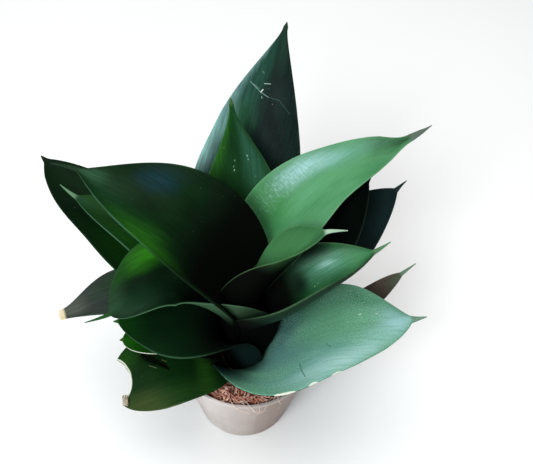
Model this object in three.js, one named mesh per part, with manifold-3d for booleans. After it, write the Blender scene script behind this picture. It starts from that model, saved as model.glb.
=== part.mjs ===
// Potted black dragon snake plant: a rosette of thick, cupped leaves in a small plastic nursery pot.
// Millimetres, +Z up. The origin is the middle of the pot's underside. Azimuths are degrees from +X
// towards +Y, and the front of the plant looks towards -Y.
import * as THREE from 'three';
import { mergeVertices } from 'three/addons/utils/BufferGeometryUtils.js';
import Module from 'manifold-3d';

const wasm = await Module();
wasm.setup();

// Pot: a thin tapered cup with a slightly thickened lip and a ring of drain holes
const POT_HEIGHT = 72;
const POT_BASE_RADIUS = 31.5;
const POT_RIM_RADIUS = 45;
const POT_WALL = 1.4;
const POT_FLOOR = 1.8;
const LIP_HEIGHT = 3;
const LIP_STEP = 0.6;
const POT_SIDES = 60;
const POT_FOOT_BEVEL = 1.2;
const LIP_EDGE = 0.4;
const DRAIN_HOLES = 6;
const DRAIN_RADIUS = 2.5;
const DRAIN_RING = 21;
const DRAIN_SIDES = 12;

// Soil: coir fill with an uneven top
const SOIL_TOP = 64;
const SOIL_BUMP = 0.54;
const SOIL_SIDES = 36;
const SOIL_RINGS = 5;

// The gap between neighbouring pieces, and the grid that every vertex is rounded to
const GAP = 0.3;
const GRID = 0.01;

// Crown: the short stem at the bottom of a round hole in the soil, with every leaf's foot on top of it
const CROWN_RADIUS = 24.5;
const CROWN_HEIGHT = 5;
const CROWN_BEVEL = 2;
const CROWN_SIDES = 36;

// Leaves: thickness at the foot, the middle and the tip, the share of it left at the margins, the depth
// of the foot in the soil, the straight sheath above, and how the pointed spike turns, narrows and thins
const THICK_FOOT = 2.0;
const THICK_MIDDLE = 2.3;
const THICK_TIP = 1.5;
const MARGIN_SHARE = 0.55;
const HEEL = 8;
const SHEATH = 4;
const TIP_HALF_WIDTH = 1.5;
const SWELL = 1.3;
const SPIKE_TURN = 1.5;
const SPIKE_NARROWING = 0.7;
const SPIKE_THINNING = 0.4;
const WORN_MOST = 0.8;
const BITE_SIDES = 24;

// Grid of a leaf: sections along the blade and along the spike, and strips across
const STATIONS = 13;
const STATION_EASE = 1.25;
const SPIKE_STATIONS = 2;
const ACROSS = 6;

// Each leaf rises from `root` [radius, azimuth] on the crown, and its midrib runs through `path`
// [x, y, height above the soil]. `wrap` is the half angle by which its foot clasps the crown, `cup`
// the half angle of its arched section at mid length and at the tip. `width` is the greatest width over
// the arch, reached at `widest` of the length. A higher `swell` keeps the lower part slimmer, and a lower
// `taper` gives a rounder end. The blade's back looks to azimuth `face` from `turn` of the length on,
// and `side` carries the blade round towards its left margin (+) or its right one (-). `spike` is the
// pointed tip's length and `spikeTo` its direction [azimuth, rise]; `blunt` is the half width of an end
// that is cut or torn off. `nicks` draw the margin in, or swell it where the depth is below zero:
// [share of length, left +1 or right -1, depth, reach]. `bites` are round pieces [x, y, radius] torn out.
// The inner leaves, which keep their whole section, come first in the list.
const LEAVES = [
  {
    name: 'leaf_left_inner', root: [6.5, 155], wrap: 60,
    path: [[-8, 11, 52], [-43, 24, 92], [-99, 42, 112]],
    width: 76, widest: 0.55, swell: 1.9, taper: 0.95, cup: [55, 25], face: 155,
    spike: 17, spikeTo: [165, -5], colour: 0x1f4a34,
  },
  {
    name: 'leaf_left_front', root: [9.5, 215], wrap: 70,
    path: [[-16, 4, 35], [-47, 11, 55], [-79, -11, 48]],
    width: 62, widest: 0.58, swell: 1.1, taper: 0.6, cup: [58, 22], face: 190,
    spike: 16, spikeTo: [190, -20], nicks: [[0.3, 1, -13, 0.28]], colour: 0x3a7a3c,
  },
  {
    name: 'leaf_heart', root: [3.5, -20], wrap: 75, path: [[6, 8, 48], [22, 20, 79], [42, 18, 100]],
    width: 46, widest: 0.55, taper: 0.8, cup: [90, 40], side: -0.5, face: 20,
    spike: 12, spikeTo: [10, -5], colour: 0x4c8558,
  },
  {
    name: 'leaf_right_inner', root: [6.5, -70], wrap: 58,
    path: [[11, 2, 36], [39, 10, 64], [71, 19, 84]],
    width: 64, widest: 0.5, swell: 1.2, taper: 0.85, cup: [88, 40], side: -0.08, face: 15, turn: 0.6,
    spike: 11, spikeTo: [20, 35], nicks: [[0.85, -1, -4, 0.25]], colour: 0x4f8a66,
  },
  {
    name: 'leaf_right_upper', root: [7.5, 45], wrap: 33,
    path: [[10, 33, 50], [38, 56, 92], [90, 77, 120]],
    width: 55, widest: 0.5, swell: 1.8, taper: 1.25, cup: [35, 25], side: 0.13, face: 42,
    spike: 16, spikeTo: [40, 5], nicks: [[0.9, 1, -4.5, 0.2], [0.9, -1, -4.5, 0.2]], colour: 0x5d9670,
  },
  {
    name: 'leaf_back_inner', root: [9.5, 95], wrap: 32,
    path: [[-6, 36, 45], [-10, 71, 86], [-17, 97, 120]],
    width: 58, widest: 0.52, swell: 2, taper: 1.35, cup: [30, 20], face: 100,
    spike: 4, colour: 0x2f6a48,
  },
  {
    name: 'leaf_left_lower', root: [12.5, 225], wrap: 74,
    path: [[-20, -3, 20], [-48, -2, 33], [-77, -6, 33]],
    width: 64, widest: 0.5, swell: 1, taper: 0.7, cup: [30, 10], side: 0.12, face: 190,
    spike: 3, colour: 0x1d4a30,
  },
  {
    name: 'leaf_front_right', root: [15.5, -60], wrap: 85,
    path: [[20, -15, 20], [52, -7, 40], [98, -1, 48]],
    width: 75, widest: 0.36, swell: 0.8, taper: 0.9, cup: [15, -10], face: 5, turn: 0.35,
    spike: 9, nicks: [[0.8, 1, -7, 0.25], [0.5, -1, 4, 0.3], [0.92, -1, -3, 0.2]], colour: 0x4f8a7a,
  },
  {
    name: 'leaf_right_dark', root: [12.5, 20], wrap: 26,
    path: [[21, 29, 34], [49, 46, 70], [67, 61, 98]],
    width: 55, widest: 0.53, swell: 1.8, taper: 0.7, cup: [30, 20], side: -0.12, face: 38,
    spike: 4, colour: 0x0c1a18,
  },
  {
    name: 'leaf_left_narrow', root: [15.5, 148], wrap: 22,
    path: [[-28, 24, 16], [-67, 43, 58], [-109, 54, 76]],
    width: 40, widest: 0.6, swell: 1.8, taper: 0.8, cup: [35, 20], face: 155,
    spike: 12, spikeTo: [150, 20], colour: 0x3b6a48,
  },
  {
    name: 'leaf_back_tall', root: [12.5, 88], wrap: 32,
    path: [[-5, 53, 40], [-1, 100, 90], [13, 144, 145]],
    width: 66, widest: 0.52, swell: 2.2, taper: 1.1, cup: [30, 20], face: 85,
    spike: 3, nicks: [[0.48, 1, -5, 0.2]], colour: 0x274a47,
  },
  {
    name: 'leaf_low_bright', root: [18.5, 205], wrap: 28,
    path: [[-28, -4, 10], [-50, -4, 16], [-76, -8, 15]],
    width: 34, widest: 0.55, taper: 0.5, cup: [20, 0], side: -0.15, face: 200,
    spike: 2, colour: 0x3f8a35,
  },
  {
    name: 'leaf_left_outer', root: [18.5, 150], wrap: 26,
    path: [[-28, 25, 10], [-78, 51, 48], [-131, 76, 84]],
    width: 56, widest: 0.52, swell: 1.8, taper: 0.75, cup: [30, 20], side: 0.1, face: 148,
    spike: 4, nicks: [[0.9, 1, -6, 0.22]], colour: 0x16302c,
  },
  {
    name: 'leaf_right_outer', root: [18.5, 38], wrap: 25,
    path: [[28, 38, 18], [61, 62, 50], [88, 73, 80]],
    width: 50, widest: 0.5, swell: 1.2, taper: 0.7, cup: [30, 10], face: 38,
    spike: 9, nicks: [[0.72, -1, -7, 0.35]], colour: 0x13282e,
  },
  {
    name: 'leaf_cut_tip', root: [21.5, 182], wrap: 20,
    path: [[-36, 4, 12], [-75, 19, 24], [-116, 2, 22]],
    width: 42, widest: 0.55, taper: 1.1, cup: [30, 30], face: 180,
    spike: 0.6, blunt: 4, colour: 0x2c3a36,
  },
  {
    name: 'leaf_front_left', root: [21.5, 226], wrap: 18,
    path: [[-27, -20, 10], [-49, -25, 13], [-76, -37, 8]],
    width: 52, widest: 0.55, taper: 0.35, cup: [10, -10], face: 212,
    spike: 2, blunt: 8, bites: [[-81, -33, 12]], colour: 0x2a5a30,
  },
  {
    name: 'leaf_right_small', root: [21.5, 8], wrap: 18,
    path: [[31, 15, 11], [66, 27, 8], [99, 46, 29]],
    width: 20, widest: 0.6, taper: 0.6, cup: [30, 20], face: 25,
    spike: 12, colour: 0x5a4f4a,
  },
];

const CROWN_TOP = SOIL_TOP - HEEL - GAP;
const radians = THREE.MathUtils.degToRad;

// A unit vector with the given azimuth and rise above the horizontal
function direction(azimuth, rise) {
  const a = radians(azimuth);
  const b = radians(rise);
  return new THREE.Vector3(Math.cos(b) * Math.cos(a), Math.cos(b) * Math.sin(a), Math.sin(b));
}

// The midrib: straight up from the crown, then through the leaf's path points
function midrib(leaf) {
  const foot = direction(leaf.root[1], 0).multiplyScalar(leaf.root[0]);
  const points = [
    new THREE.Vector3(foot.x, foot.y, SOIL_TOP - HEEL),
    new THREE.Vector3(foot.x, foot.y, SOIL_TOP + SHEATH),
    ...leaf.path.map(([x, y, height]) => new THREE.Vector3(x, y, SOIL_TOP + height)),
  ];
  return new THREE.CatmullRomCurve3(points);
}

// Half the blade's width at a share t of its length, from the clasping foot to the rounded end
function halfWidth(leaf, t) {
  const foot = leaf.root[0] * radians(leaf.wrap);
  const most = leaf.width / 2;
  let half;
  if (t < leaf.widest) {
    half = foot + (most - foot) * Math.sin((Math.PI / 2) * (t / leaf.widest)) ** (leaf.swell ?? SWELL);
  } else {
    half = most * Math.cos((Math.PI / 2) * ((t - leaf.widest) / (1 - leaf.widest))) ** leaf.taper;
  }
  return Math.hypot(half, leaf.blunt ?? TIP_HALF_WIDTH);
}

// A value that runs through its foot, middle and tip values along the leaf
function alongLeaf([foot, middle, tip], t) {
  return foot * (1 - t) * (1 - 2 * t) + middle * 4 * t * (1 - t) + tip * t * (2 * t - 1);
}

// The sections of one leaf, each with its centre, its left and inward directions and its sizes
function sections(leaf) {
  const curve = midrib(leaf);
  const list = [];
  const add = (t, centre, along, half, thick, curl) => {
    const turned = THREE.MathUtils.smoothstep(t / (leaf.turn ?? 1), 0, 1);
    const azimuth = leaf.root[1] + (leaf.face - leaf.root[1]) * turned;
    const left = direction(azimuth + 90, 0);
    left.addScaledVector(along, -left.dot(along)).normalize();
    const inward = along.clone().cross(left);
    const cup = radians(alongLeaf([leaf.wrap, ...leaf.cup], Math.min(t, 1))) * curl;
    const shift = (leaf.side ?? 0) * Math.sin(Math.PI * Math.min(t, 1));
    list.push({ t, centre, left, inward, half, thick, shift, cup: Math.abs(cup) < 0.001 ? 0.001 : cup });
  };
  for (let i = 0; i <= STATIONS; i++) {
    const t = 1 - (1 - i / STATIONS) ** STATION_EASE;
    const thick = t < 0.5
      ? THREE.MathUtils.lerp(THICK_FOOT, THICK_MIDDLE, t * 2)
      : THREE.MathUtils.lerp(THICK_MIDDLE, THICK_TIP, t * 2 - 1);
    add(t, curve.getPointAt(t), curve.getTangentAt(t), halfWidth(leaf, t), thick, 1);
  }
  const end = curve.getTangentAt(1);
  const aim = leaf.spikeTo ? direction(...leaf.spikeTo) : end;
  const point = curve.getPointAt(1);
  for (let i = 1; i <= SPIKE_STATIONS; i++) {
    const share = i / SPIKE_STATIONS;
    const along = end.clone().lerp(aim, Math.min(1, share * SPIKE_TURN)).normalize();
    point.addScaledVector(along, leaf.spike / SPIKE_STATIONS);
    const half = (leaf.blunt ?? TIP_HALF_WIDTH) * (1 - SPIKE_NARROWING * share);
    add(1 + share / 10, point.clone(), along, half, THICK_TIP * (1 - SPIKE_THINNING * share), 1 - share);
  }
  return list;
}

// How far nicks draw the margin in, as a share of the half width
function worn(leaf, section, side) {
  let share = 0;
  for (const [at, nickSide, depth, reach] of leaf.nicks ?? []) {
    const near = THREE.MathUtils.smoothstep(1 - Math.abs(section.t - at) / reach, 0, 1);
    if (nickSide === side) share += (depth * near) / section.half;
  }
  return THREE.MathUtils.clamp(share, -WORN_MOST, WORN_MOST);
}

// One leaf as a closed solid, grown all round where it is used to cut its own socket
function leafGeometry(leaf, grown = 0) {
  const list = sections(leaf);
  const positions = [];
  const column = ACROSS + 1;
  list.forEach((section, i) => {
    const radius = section.half / section.cup;
    const wider = 1 + grown / section.half;
    const centre = section.centre.clone();
    if (i === 0) centre.z -= grown;
    for (const face of [1, -1]) {
      for (let j = 0; j <= ACROSS; j++) {
        const s = (2 * j) / ACROSS - 1;
        const kept = s * (1 - worn(leaf, section, Math.sign(s)));
        const angle = (kept * wider + section.shift) * section.cup;
        const thick = section.thick * (1 - (1 - MARGIN_SHARE) * s * s) + 2 * grown;
        const x = radius * Math.sin(angle) - face * (thick / 2) * Math.sin(angle);
        const z = radius * (1 - Math.cos(angle)) + face * (thick / 2) * Math.cos(angle);
        const at = centre.clone().addScaledVector(section.left, x).addScaledVector(section.inward, z);
        positions.push(at.x, at.y, at.z);
      }
    }
  });
  const inner = (i, j) => i * 2 * column + j;
  const outer = (i, j) => (i * 2 + 1) * column + j;
  const index = [];
  const quad = (a, b, c, d) => index.push(a, b, c, a, c, d);
  const last = list.length - 1;
  for (let i = 0; i < last; i++) {
    for (let j = 0; j < ACROSS; j++) {
      quad(inner(i, j), inner(i + 1, j), inner(i + 1, j + 1), inner(i, j + 1));
      index.push(outer(i, j), outer(i + 1, j + 1), outer(i + 1, j));
      index.push(outer(i, j), outer(i, j + 1), outer(i + 1, j + 1));
    }
    quad(outer(i, 0), outer(i + 1, 0), inner(i + 1, 0), inner(i, 0));
    quad(inner(i, ACROSS), inner(i + 1, ACROSS), outer(i + 1, ACROSS), outer(i, ACROSS));
  }
  for (let j = 0; j < ACROSS; j++) {
    quad(outer(0, j), inner(0, j), inner(0, j + 1), outer(0, j + 1));
    quad(inner(last, j), outer(last, j), outer(last, j + 1), inner(last, j + 1));
  }
  const geometry = new THREE.BufferGeometry();
  geometry.setAttribute('position', new THREE.Float32BufferAttribute(positions, 3));
  geometry.setIndex(index);
  return geometry;
}

// The geometry on a fine grid, with one vertex for each place and without what that flattens
function cleaned(geometry) {
  const places = Float32Array.from(geometry.attributes.position.array, (v) => Math.round(v / GRID) * GRID);
  const snapped = new THREE.BufferGeometry();
  snapped.setAttribute('position', new THREE.Float32BufferAttribute(places, 3));
  snapped.setIndex(Array.from(geometry.index.array));
  const merged = mergeVertices(snapped, GRID / 4);
  const faces = new Map();
  for (let i = 0; i < merged.index.count; i += 3) {
    const face = [0, 1, 2].map((k) => merged.index.getX(i + k));
    const corners = [...new Set(face)].sort((p, q) => p - q);
    if (corners.length < 3) continue;
    const key = corners.join(' ');
    if (!faces.delete(key)) faces.set(key, face);
  }
  merged.setIndex([...faces.values()].flat());
  return merged;
}

function solid(geometry) {
  const merged = cleaned(geometry);
  const vertProperties = new Float32Array(merged.attributes.position.array);
  const triVerts = new Uint32Array(merged.index.array);
  return new wasm.Manifold(new wasm.Mesh({ numProp: 3, vertProperties, triVerts }));
}

// What is left of a body once the others are cut away
function less(body, others) {
  let rest = body;
  for (const other of others) rest = rest.subtract(other);
  return rest;
}

// The largest of a body's separate parts, without the scraps that come loose
function largestPart(body) {
  return body.decompose().sort((a, b) => b.volume() - a.volume())[0];
}

function geometryOf(body) {
  const mesh = body.getMesh();
  const geometry = new THREE.BufferGeometry();
  geometry.setAttribute('position', new THREE.Float32BufferAttribute(mesh.vertProperties, 3));
  geometry.setIndex(Array.from(mesh.triVerts));
  return cleaned(geometry);
}

// A shape turned around Z from a profile of [radius, height] that runs up the outside
function turned(profile, sides) {
  const points = profile.map(([radius, height]) => new THREE.Vector2(radius, height));
  const geometry = new THREE.LatheGeometry(points, sides);
  geometry.rotateX(Math.PI / 2);
  return cleaned(geometry);
}

const POT_FLARE = (POT_RIM_RADIUS - LIP_STEP - POT_BASE_RADIUS) / POT_HEIGHT;
const potRadiusAt = (z) => POT_BASE_RADIUS + POT_FLARE * z;
const insideRadiusAt = (z) => potRadiusAt(z) - POT_WALL;

function potGeometry() {
  const lipBottom = POT_HEIGHT - LIP_HEIGHT;
  const shell = solid(turned([
    [0, 0],
    [POT_BASE_RADIUS - POT_FOOT_BEVEL, 0],
    [potRadiusAt(POT_FOOT_BEVEL), POT_FOOT_BEVEL],
    [potRadiusAt(lipBottom), lipBottom],
    [potRadiusAt(lipBottom) + LIP_STEP, lipBottom + LIP_STEP],
    [POT_RIM_RADIUS, POT_HEIGHT - LIP_EDGE],
    [POT_RIM_RADIUS - LIP_EDGE, POT_HEIGHT],
    [insideRadiusAt(POT_HEIGHT), POT_HEIGHT],
    [insideRadiusAt(POT_FLOOR), POT_FLOOR],
    [0, POT_FLOOR],
  ], POT_SIDES));
  let body = shell;
  for (let i = 0; i < DRAIN_HOLES; i++) {
    const angle = (2 * Math.PI * (i + 0.5)) / DRAIN_HOLES;
    const drill = new THREE.CylinderGeometry(DRAIN_RADIUS, DRAIN_RADIUS, POT_FLOOR * 3, DRAIN_SIDES);
    drill.rotateX(Math.PI / 2);
    drill.translate(DRAIN_RING * Math.cos(angle), DRAIN_RING * Math.sin(angle), POT_FLOOR / 2);
    body = body.subtract(solid(drill));
  }
  return geometryOf(body);
}

// The unevenness of the soil, which dies out at the pot's wall
function bump(x, y) {
  const wave = Math.sin(0.31 * x + 1.1) * Math.cos(0.27 * y - 0.4) + 0.7 * Math.sin(0.52 * y - 0.41 * x);
  return SOIL_BUMP * wave;
}

function soilGeometry() {
  const bottom = POT_FLOOR + GAP;
  const edge = insideRadiusAt(SOIL_TOP) - GAP;
  const mouth = CROWN_RADIUS + GAP;
  const floor = CROWN_TOP - CROWN_HEIGHT - GAP;
  const rings = [];
  for (let i = 1; i < SOIL_RINGS; i++) rings.push([edge + ((mouth - edge) * i) / SOIL_RINGS, SOIL_TOP]);
  const geometry = turned([
    [0, bottom],
    [insideRadiusAt(bottom) - GAP, bottom],
    [edge, SOIL_TOP],
    ...rings,
    [mouth, SOIL_TOP],
    [mouth, floor],
    [0, floor],
  ], SOIL_SIDES);
  const position = geometry.attributes.position;
  for (let i = 0; i < position.count; i++) {
    const [x, y, z] = [position.getX(i), position.getY(i), position.getZ(i)];
    const radius = Math.hypot(x, y);
    if (z > SOIL_TOP - 0.1 && radius < edge - 0.1) position.setZ(i, z + bump(x, y));
  }
  return geometry;
}

function crownGeometry() {
  const bottom = CROWN_TOP - CROWN_HEIGHT;
  return turned([
    [0, bottom],
    [CROWN_RADIUS - CROWN_BEVEL, bottom],
    [CROWN_RADIUS, bottom + CROWN_BEVEL],
    [CROWN_RADIUS, CROWN_TOP],
    [0, CROWN_TOP],
  ], CROWN_SIDES);
}

// The upright round cutter that a bite takes out of a leaf
function biteSolid([x, y, radius]) {
  const cutter = new THREE.CylinderGeometry(radius, radius, POT_HEIGHT, BITE_SIDES);
  cutter.rotateX(Math.PI / 2);
  cutter.translate(x, y, SOIL_TOP);
  return solid(cutter);
}

const plant = new THREE.Group();

function addPiece(name, geometry, color, roughness) {
  const material = new THREE.MeshStandardMaterial({ color, roughness, metalness: 0 });
  const mesh = new THREE.Mesh(geometry, material);
  mesh.name = name;
  plant.add(mesh);
}

addPiece('pot', potGeometry(), 0xb3aba8, 0.45);
addPiece('soil', soilGeometry(), 0x6b3f31, 0.95);
addPiece('crown', crownGeometry(), 0x4a5a35, 0.7);

// Where two leaves would meet, the later one in the list is trimmed clear of the earlier one
const rooms = [];
for (const leaf of LEAVES) {
  const whole = solid(leafGeometry(leaf));
  const cutters = [...rooms, ...(leaf.bites ?? []).map(biteSolid)];
  addPiece(leaf.name, geometryOf(largestPart(less(whole, cutters))), leaf.colour, 0.45);
  rooms.push(solid(leafGeometry(leaf, GAP)).add(whole));
}

export default plant;
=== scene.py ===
# %% [markdown]
# # A black dragon snake plant in its nursery pot
# The real plant is a rosette of seventeen thick, waxy leaves. Each one clasps a short crown with its
# foot, opens like a scoop and ends in a stiff spike. It grows in coir, in a small plastic pot. The
# measured solids come first, because every piece here has to sit exactly where its solid does.

# %% Load the measured frame
import math
from types import SimpleNamespace

import bmesh
import bpy
import numpy as np
from mathutils import Matrix, Vector


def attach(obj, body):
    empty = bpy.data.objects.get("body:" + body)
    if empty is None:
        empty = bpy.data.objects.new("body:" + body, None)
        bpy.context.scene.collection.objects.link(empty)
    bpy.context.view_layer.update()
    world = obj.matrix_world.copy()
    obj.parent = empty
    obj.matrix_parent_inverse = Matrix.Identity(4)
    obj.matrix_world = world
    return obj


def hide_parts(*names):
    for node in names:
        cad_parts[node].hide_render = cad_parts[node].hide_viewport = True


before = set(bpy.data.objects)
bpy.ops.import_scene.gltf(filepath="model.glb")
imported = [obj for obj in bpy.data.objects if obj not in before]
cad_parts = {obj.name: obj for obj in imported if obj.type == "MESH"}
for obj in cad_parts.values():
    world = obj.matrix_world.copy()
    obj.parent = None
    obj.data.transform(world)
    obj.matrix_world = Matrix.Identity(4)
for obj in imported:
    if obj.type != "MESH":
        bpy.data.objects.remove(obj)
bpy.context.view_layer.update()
MM = 0.001

# %% [markdown]
# ## The camera
# The plant is seen from the front and from above, at about the height of someone who stands over a
# table. A camera can be turned by hand, but three plain numbers tell more: its rise, its distance
# and a slight roll, because the picture was taken by hand. It looks along +Y.

# %% Camera
RISE, ROLL, DISTANCE = math.radians(50), math.radians(3.6), 0.457
AIM = Vector((0.009, 0.069, 0.100))
FOCAL_LENGTH, SENSOR_WIDTH = 46, 36
NEAREST, FARTHEST = 0.01, 20

lens = bpy.data.cameras.new("camera")
lens.lens, lens.sensor_width = FOCAL_LENGTH, SENSOR_WIDTH
lens.clip_start, lens.clip_end = NEAREST, FARTHEST
camera = bpy.data.objects.new("camera", lens)
bpy.context.scene.collection.objects.link(camera)
towards = Vector((0, math.cos(RISE), -math.sin(RISE)))
camera.matrix_world = (
    Matrix.Translation(AIM - towards * DISTANCE)
    @ Matrix.Rotation(math.pi / 2 - RISE, 4, "X")
    @ Matrix.Rotation(ROLL, 4, "Z")
)
bpy.context.scene.camera = camera
print("camera at", [round(v, 3) for v in camera.matrix_world.translation])

# %% [markdown]
# ## The floor and the light
# A pale, matt floor and soft lamps keep the eye on the leaves. A window-like lamp stands in front, a
# little to the left, and lights the faces that lean towards the viewer. A big soft lamp overhead gives
# the cupped leaves their even light and leaves the heart dark. A small hard lamp would be simpler, but
# it would draw sharp shadows that the real plant doesn't have in its corner by a window.

# %% Helpers for colours and shader nodes
def paint(code):
    """A colour from its hexadecimal code, in the linear values that shaders use."""
    parts = [int(code[i : i + 2], 16) / 255 for i in (1, 3, 5)]
    linear = [c / 12.92 if c <= 0.04045 else ((c + 0.055) / 1.055) ** 2.4 for c in parts]
    return (*linear, 1.0)


def put(tree, kind, inputs=(), **settings):
    """Adds a node. Each input is a value or a socket to link, by the input's name or number."""
    node = tree.nodes.new(kind)
    for name, value in settings.items():
        setattr(node, name, value)
    for name, value in dict(inputs).items():
        if isinstance(value, bpy.types.NodeSocket):
            tree.links.new(value, node.inputs[name])
        else:
            node.inputs[name].default_value = value
    return node


def calc(tree, operation, *values, clamp=False):
    """One sum of numbers, as a Math node. Gives its result."""
    node = put(tree, "ShaderNodeMath", dict(enumerate(values)), operation=operation, use_clamp=clamp)
    return node.outputs[0]


def times(tree, first, second):
    """Two numbers multiplied."""
    return calc(tree, "MULTIPLY", first, second)


def plus(tree, first, second):
    """Two numbers added."""
    return calc(tree, "ADD", first, second)


def vectors(tree, operation, first, second=(0, 0, 0)):
    """One sum of vectors, as a Vector Math node. Gives a vector, or a number where that is the result."""
    node = put(tree, "ShaderNodeVectorMath", {0: first, 1: second}, operation=operation)
    return node.outputs["Value" if operation in ("LENGTH", "DISTANCE", "DOT_PRODUCT") else "Vector"]


def ramp(tree, value, low, high, start=0.0, end=1.0):
    """A smooth step from start at low to end at high."""
    limits = {"Value": value, "From Min": low, "From Max": high, "To Min": start, "To Max": end}
    return put(tree, "ShaderNodeMapRange", limits, interpolation_type="SMOOTHSTEP").outputs["Result"]


def blend(tree, share, first, second):
    """Two colours mixed by a share."""
    return put(tree, "ShaderNodeMix", {0: share, 6: first, 7: second}, data_type="RGBA").outputs[2]


def noise(tree, vector, scale, detail=3.0, rough=0.5, warp=0.0):
    """Cloudy noise from 0 to 1 at a place."""
    inputs = {"Vector": vector, "Scale": scale, "Detail": detail, "Roughness": rough, "Distortion": warp}
    return put(tree, "ShaderNodeTexNoise", inputs).outputs["Fac"]


def stretched(tree, place, scale):
    """A place with each part times its own scale. A pattern gets longer where the scale is small."""
    return vectors(tree, "MULTIPLY", place, scale)


def own_place(tree):
    """Each point's place in its object's own coordinates, in metres."""
    return put(tree, "ShaderNodeTexCoord").outputs["Object"]


def material(name):
    """A new material with its Principled shader, ready to be filled."""
    finish = bpy.data.materials.new(name)
    finish.use_nodes = True
    return finish, finish.node_tree, finish.node_tree.nodes["Principled BSDF"]


def bumped(tree, skin, height, strength, distance):
    """Feeds a height from 0 to 1 into the shader's normal. The distance is its relief in metres."""
    bump = put(tree, "ShaderNodeBump", {"Height": height, "Strength": strength, "Distance": distance})
    tree.links.new(bump.outputs["Normal"], skin.inputs["Normal"])


def coloured(tree, skin, colour, rough, shine=0.5):
    """Feeds a colour and a roughness into the shader, and sets how strongly it reflects."""
    tree.links.new(colour, skin.inputs["Base Color"])
    tree.links.new(rough, skin.inputs["Roughness"])
    skin.inputs["Specular IOR Level"].default_value = shine


print("shader helpers are ready")

# %% Floor and lamps
FLOOR_HALF = 3.0
LIT_POINT = Vector((0, 0.04, 0.10))
SKY_COLOUR, SKY_STRENGTH = (0.94, 0.97, 1.0, 1), 0.27

floor_mesh = bpy.data.meshes.new("floor")
corners = [(-1, -1), (1, -1), (1, 1), (-1, 1)]
floor_mesh.from_pydata([(x * FLOOR_HALF, y * FLOOR_HALF, 0) for x, y in corners], [], [(0, 1, 2, 3)])
floor = bpy.data.objects.new("floor", floor_mesh)
bpy.context.scene.collection.objects.link(floor)
finish, tree, skin = material("pale floor")
skin.inputs["Roughness"].default_value = 0.9
cloud = noise(tree, own_place(tree), 2.5)
tree.links.new(blend(tree, cloud, paint("#f4f4f3"), paint("#fafafa")), skin.inputs["Base Color"])
floor_mesh.materials.append(finish)


def lamp(name, place, size, power, colour):
    """A square, soft lamp that faces the plant."""
    light = bpy.data.lights.new(name, "AREA")
    light.shape, light.size, light.energy, light.color = "SQUARE", size, power, colour
    holder = bpy.data.objects.new(name, light)
    bpy.context.scene.collection.objects.link(holder)
    facing = (LIT_POINT - Vector(place)).to_track_quat("-Z", "Y")
    holder.matrix_world = Matrix.Translation(place) @ facing.to_matrix().to_4x4()


lamp("window", (-0.40, -0.82, 0.98), 0.5, 12, (0.93, 0.98, 1.0))
lamp("ceiling", (-0.1, 0.35, 1.9), 1.8, 27, (1.0, 0.99, 0.97))

sky = bpy.data.worlds.new("studio")
sky.use_nodes = True
background = sky.node_tree.nodes["Background"]
background.inputs["Color"].default_value = SKY_COLOUR
background.inputs["Strength"].default_value = SKY_STRENGTH
bpy.context.scene.world = sky
bpy.context.scene.view_settings.view_transform = "Standard"
print("floor, two lamps and the sky are set")

# %% [markdown]
# ## The leaves: one form, seventeen sets of values
# Every leaf is built by the same rule. A smooth midrib runs from the crown through three points. Along
# it the blade widens from its clasping foot and closes to a rounded end, and across it is an arc that
# is tight at the foot and opens towards the tip. The values are those of the measured solids, so the
# finer leaves fill the same places. Sculpting would give one leaf, but the rule gives them all.

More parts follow.
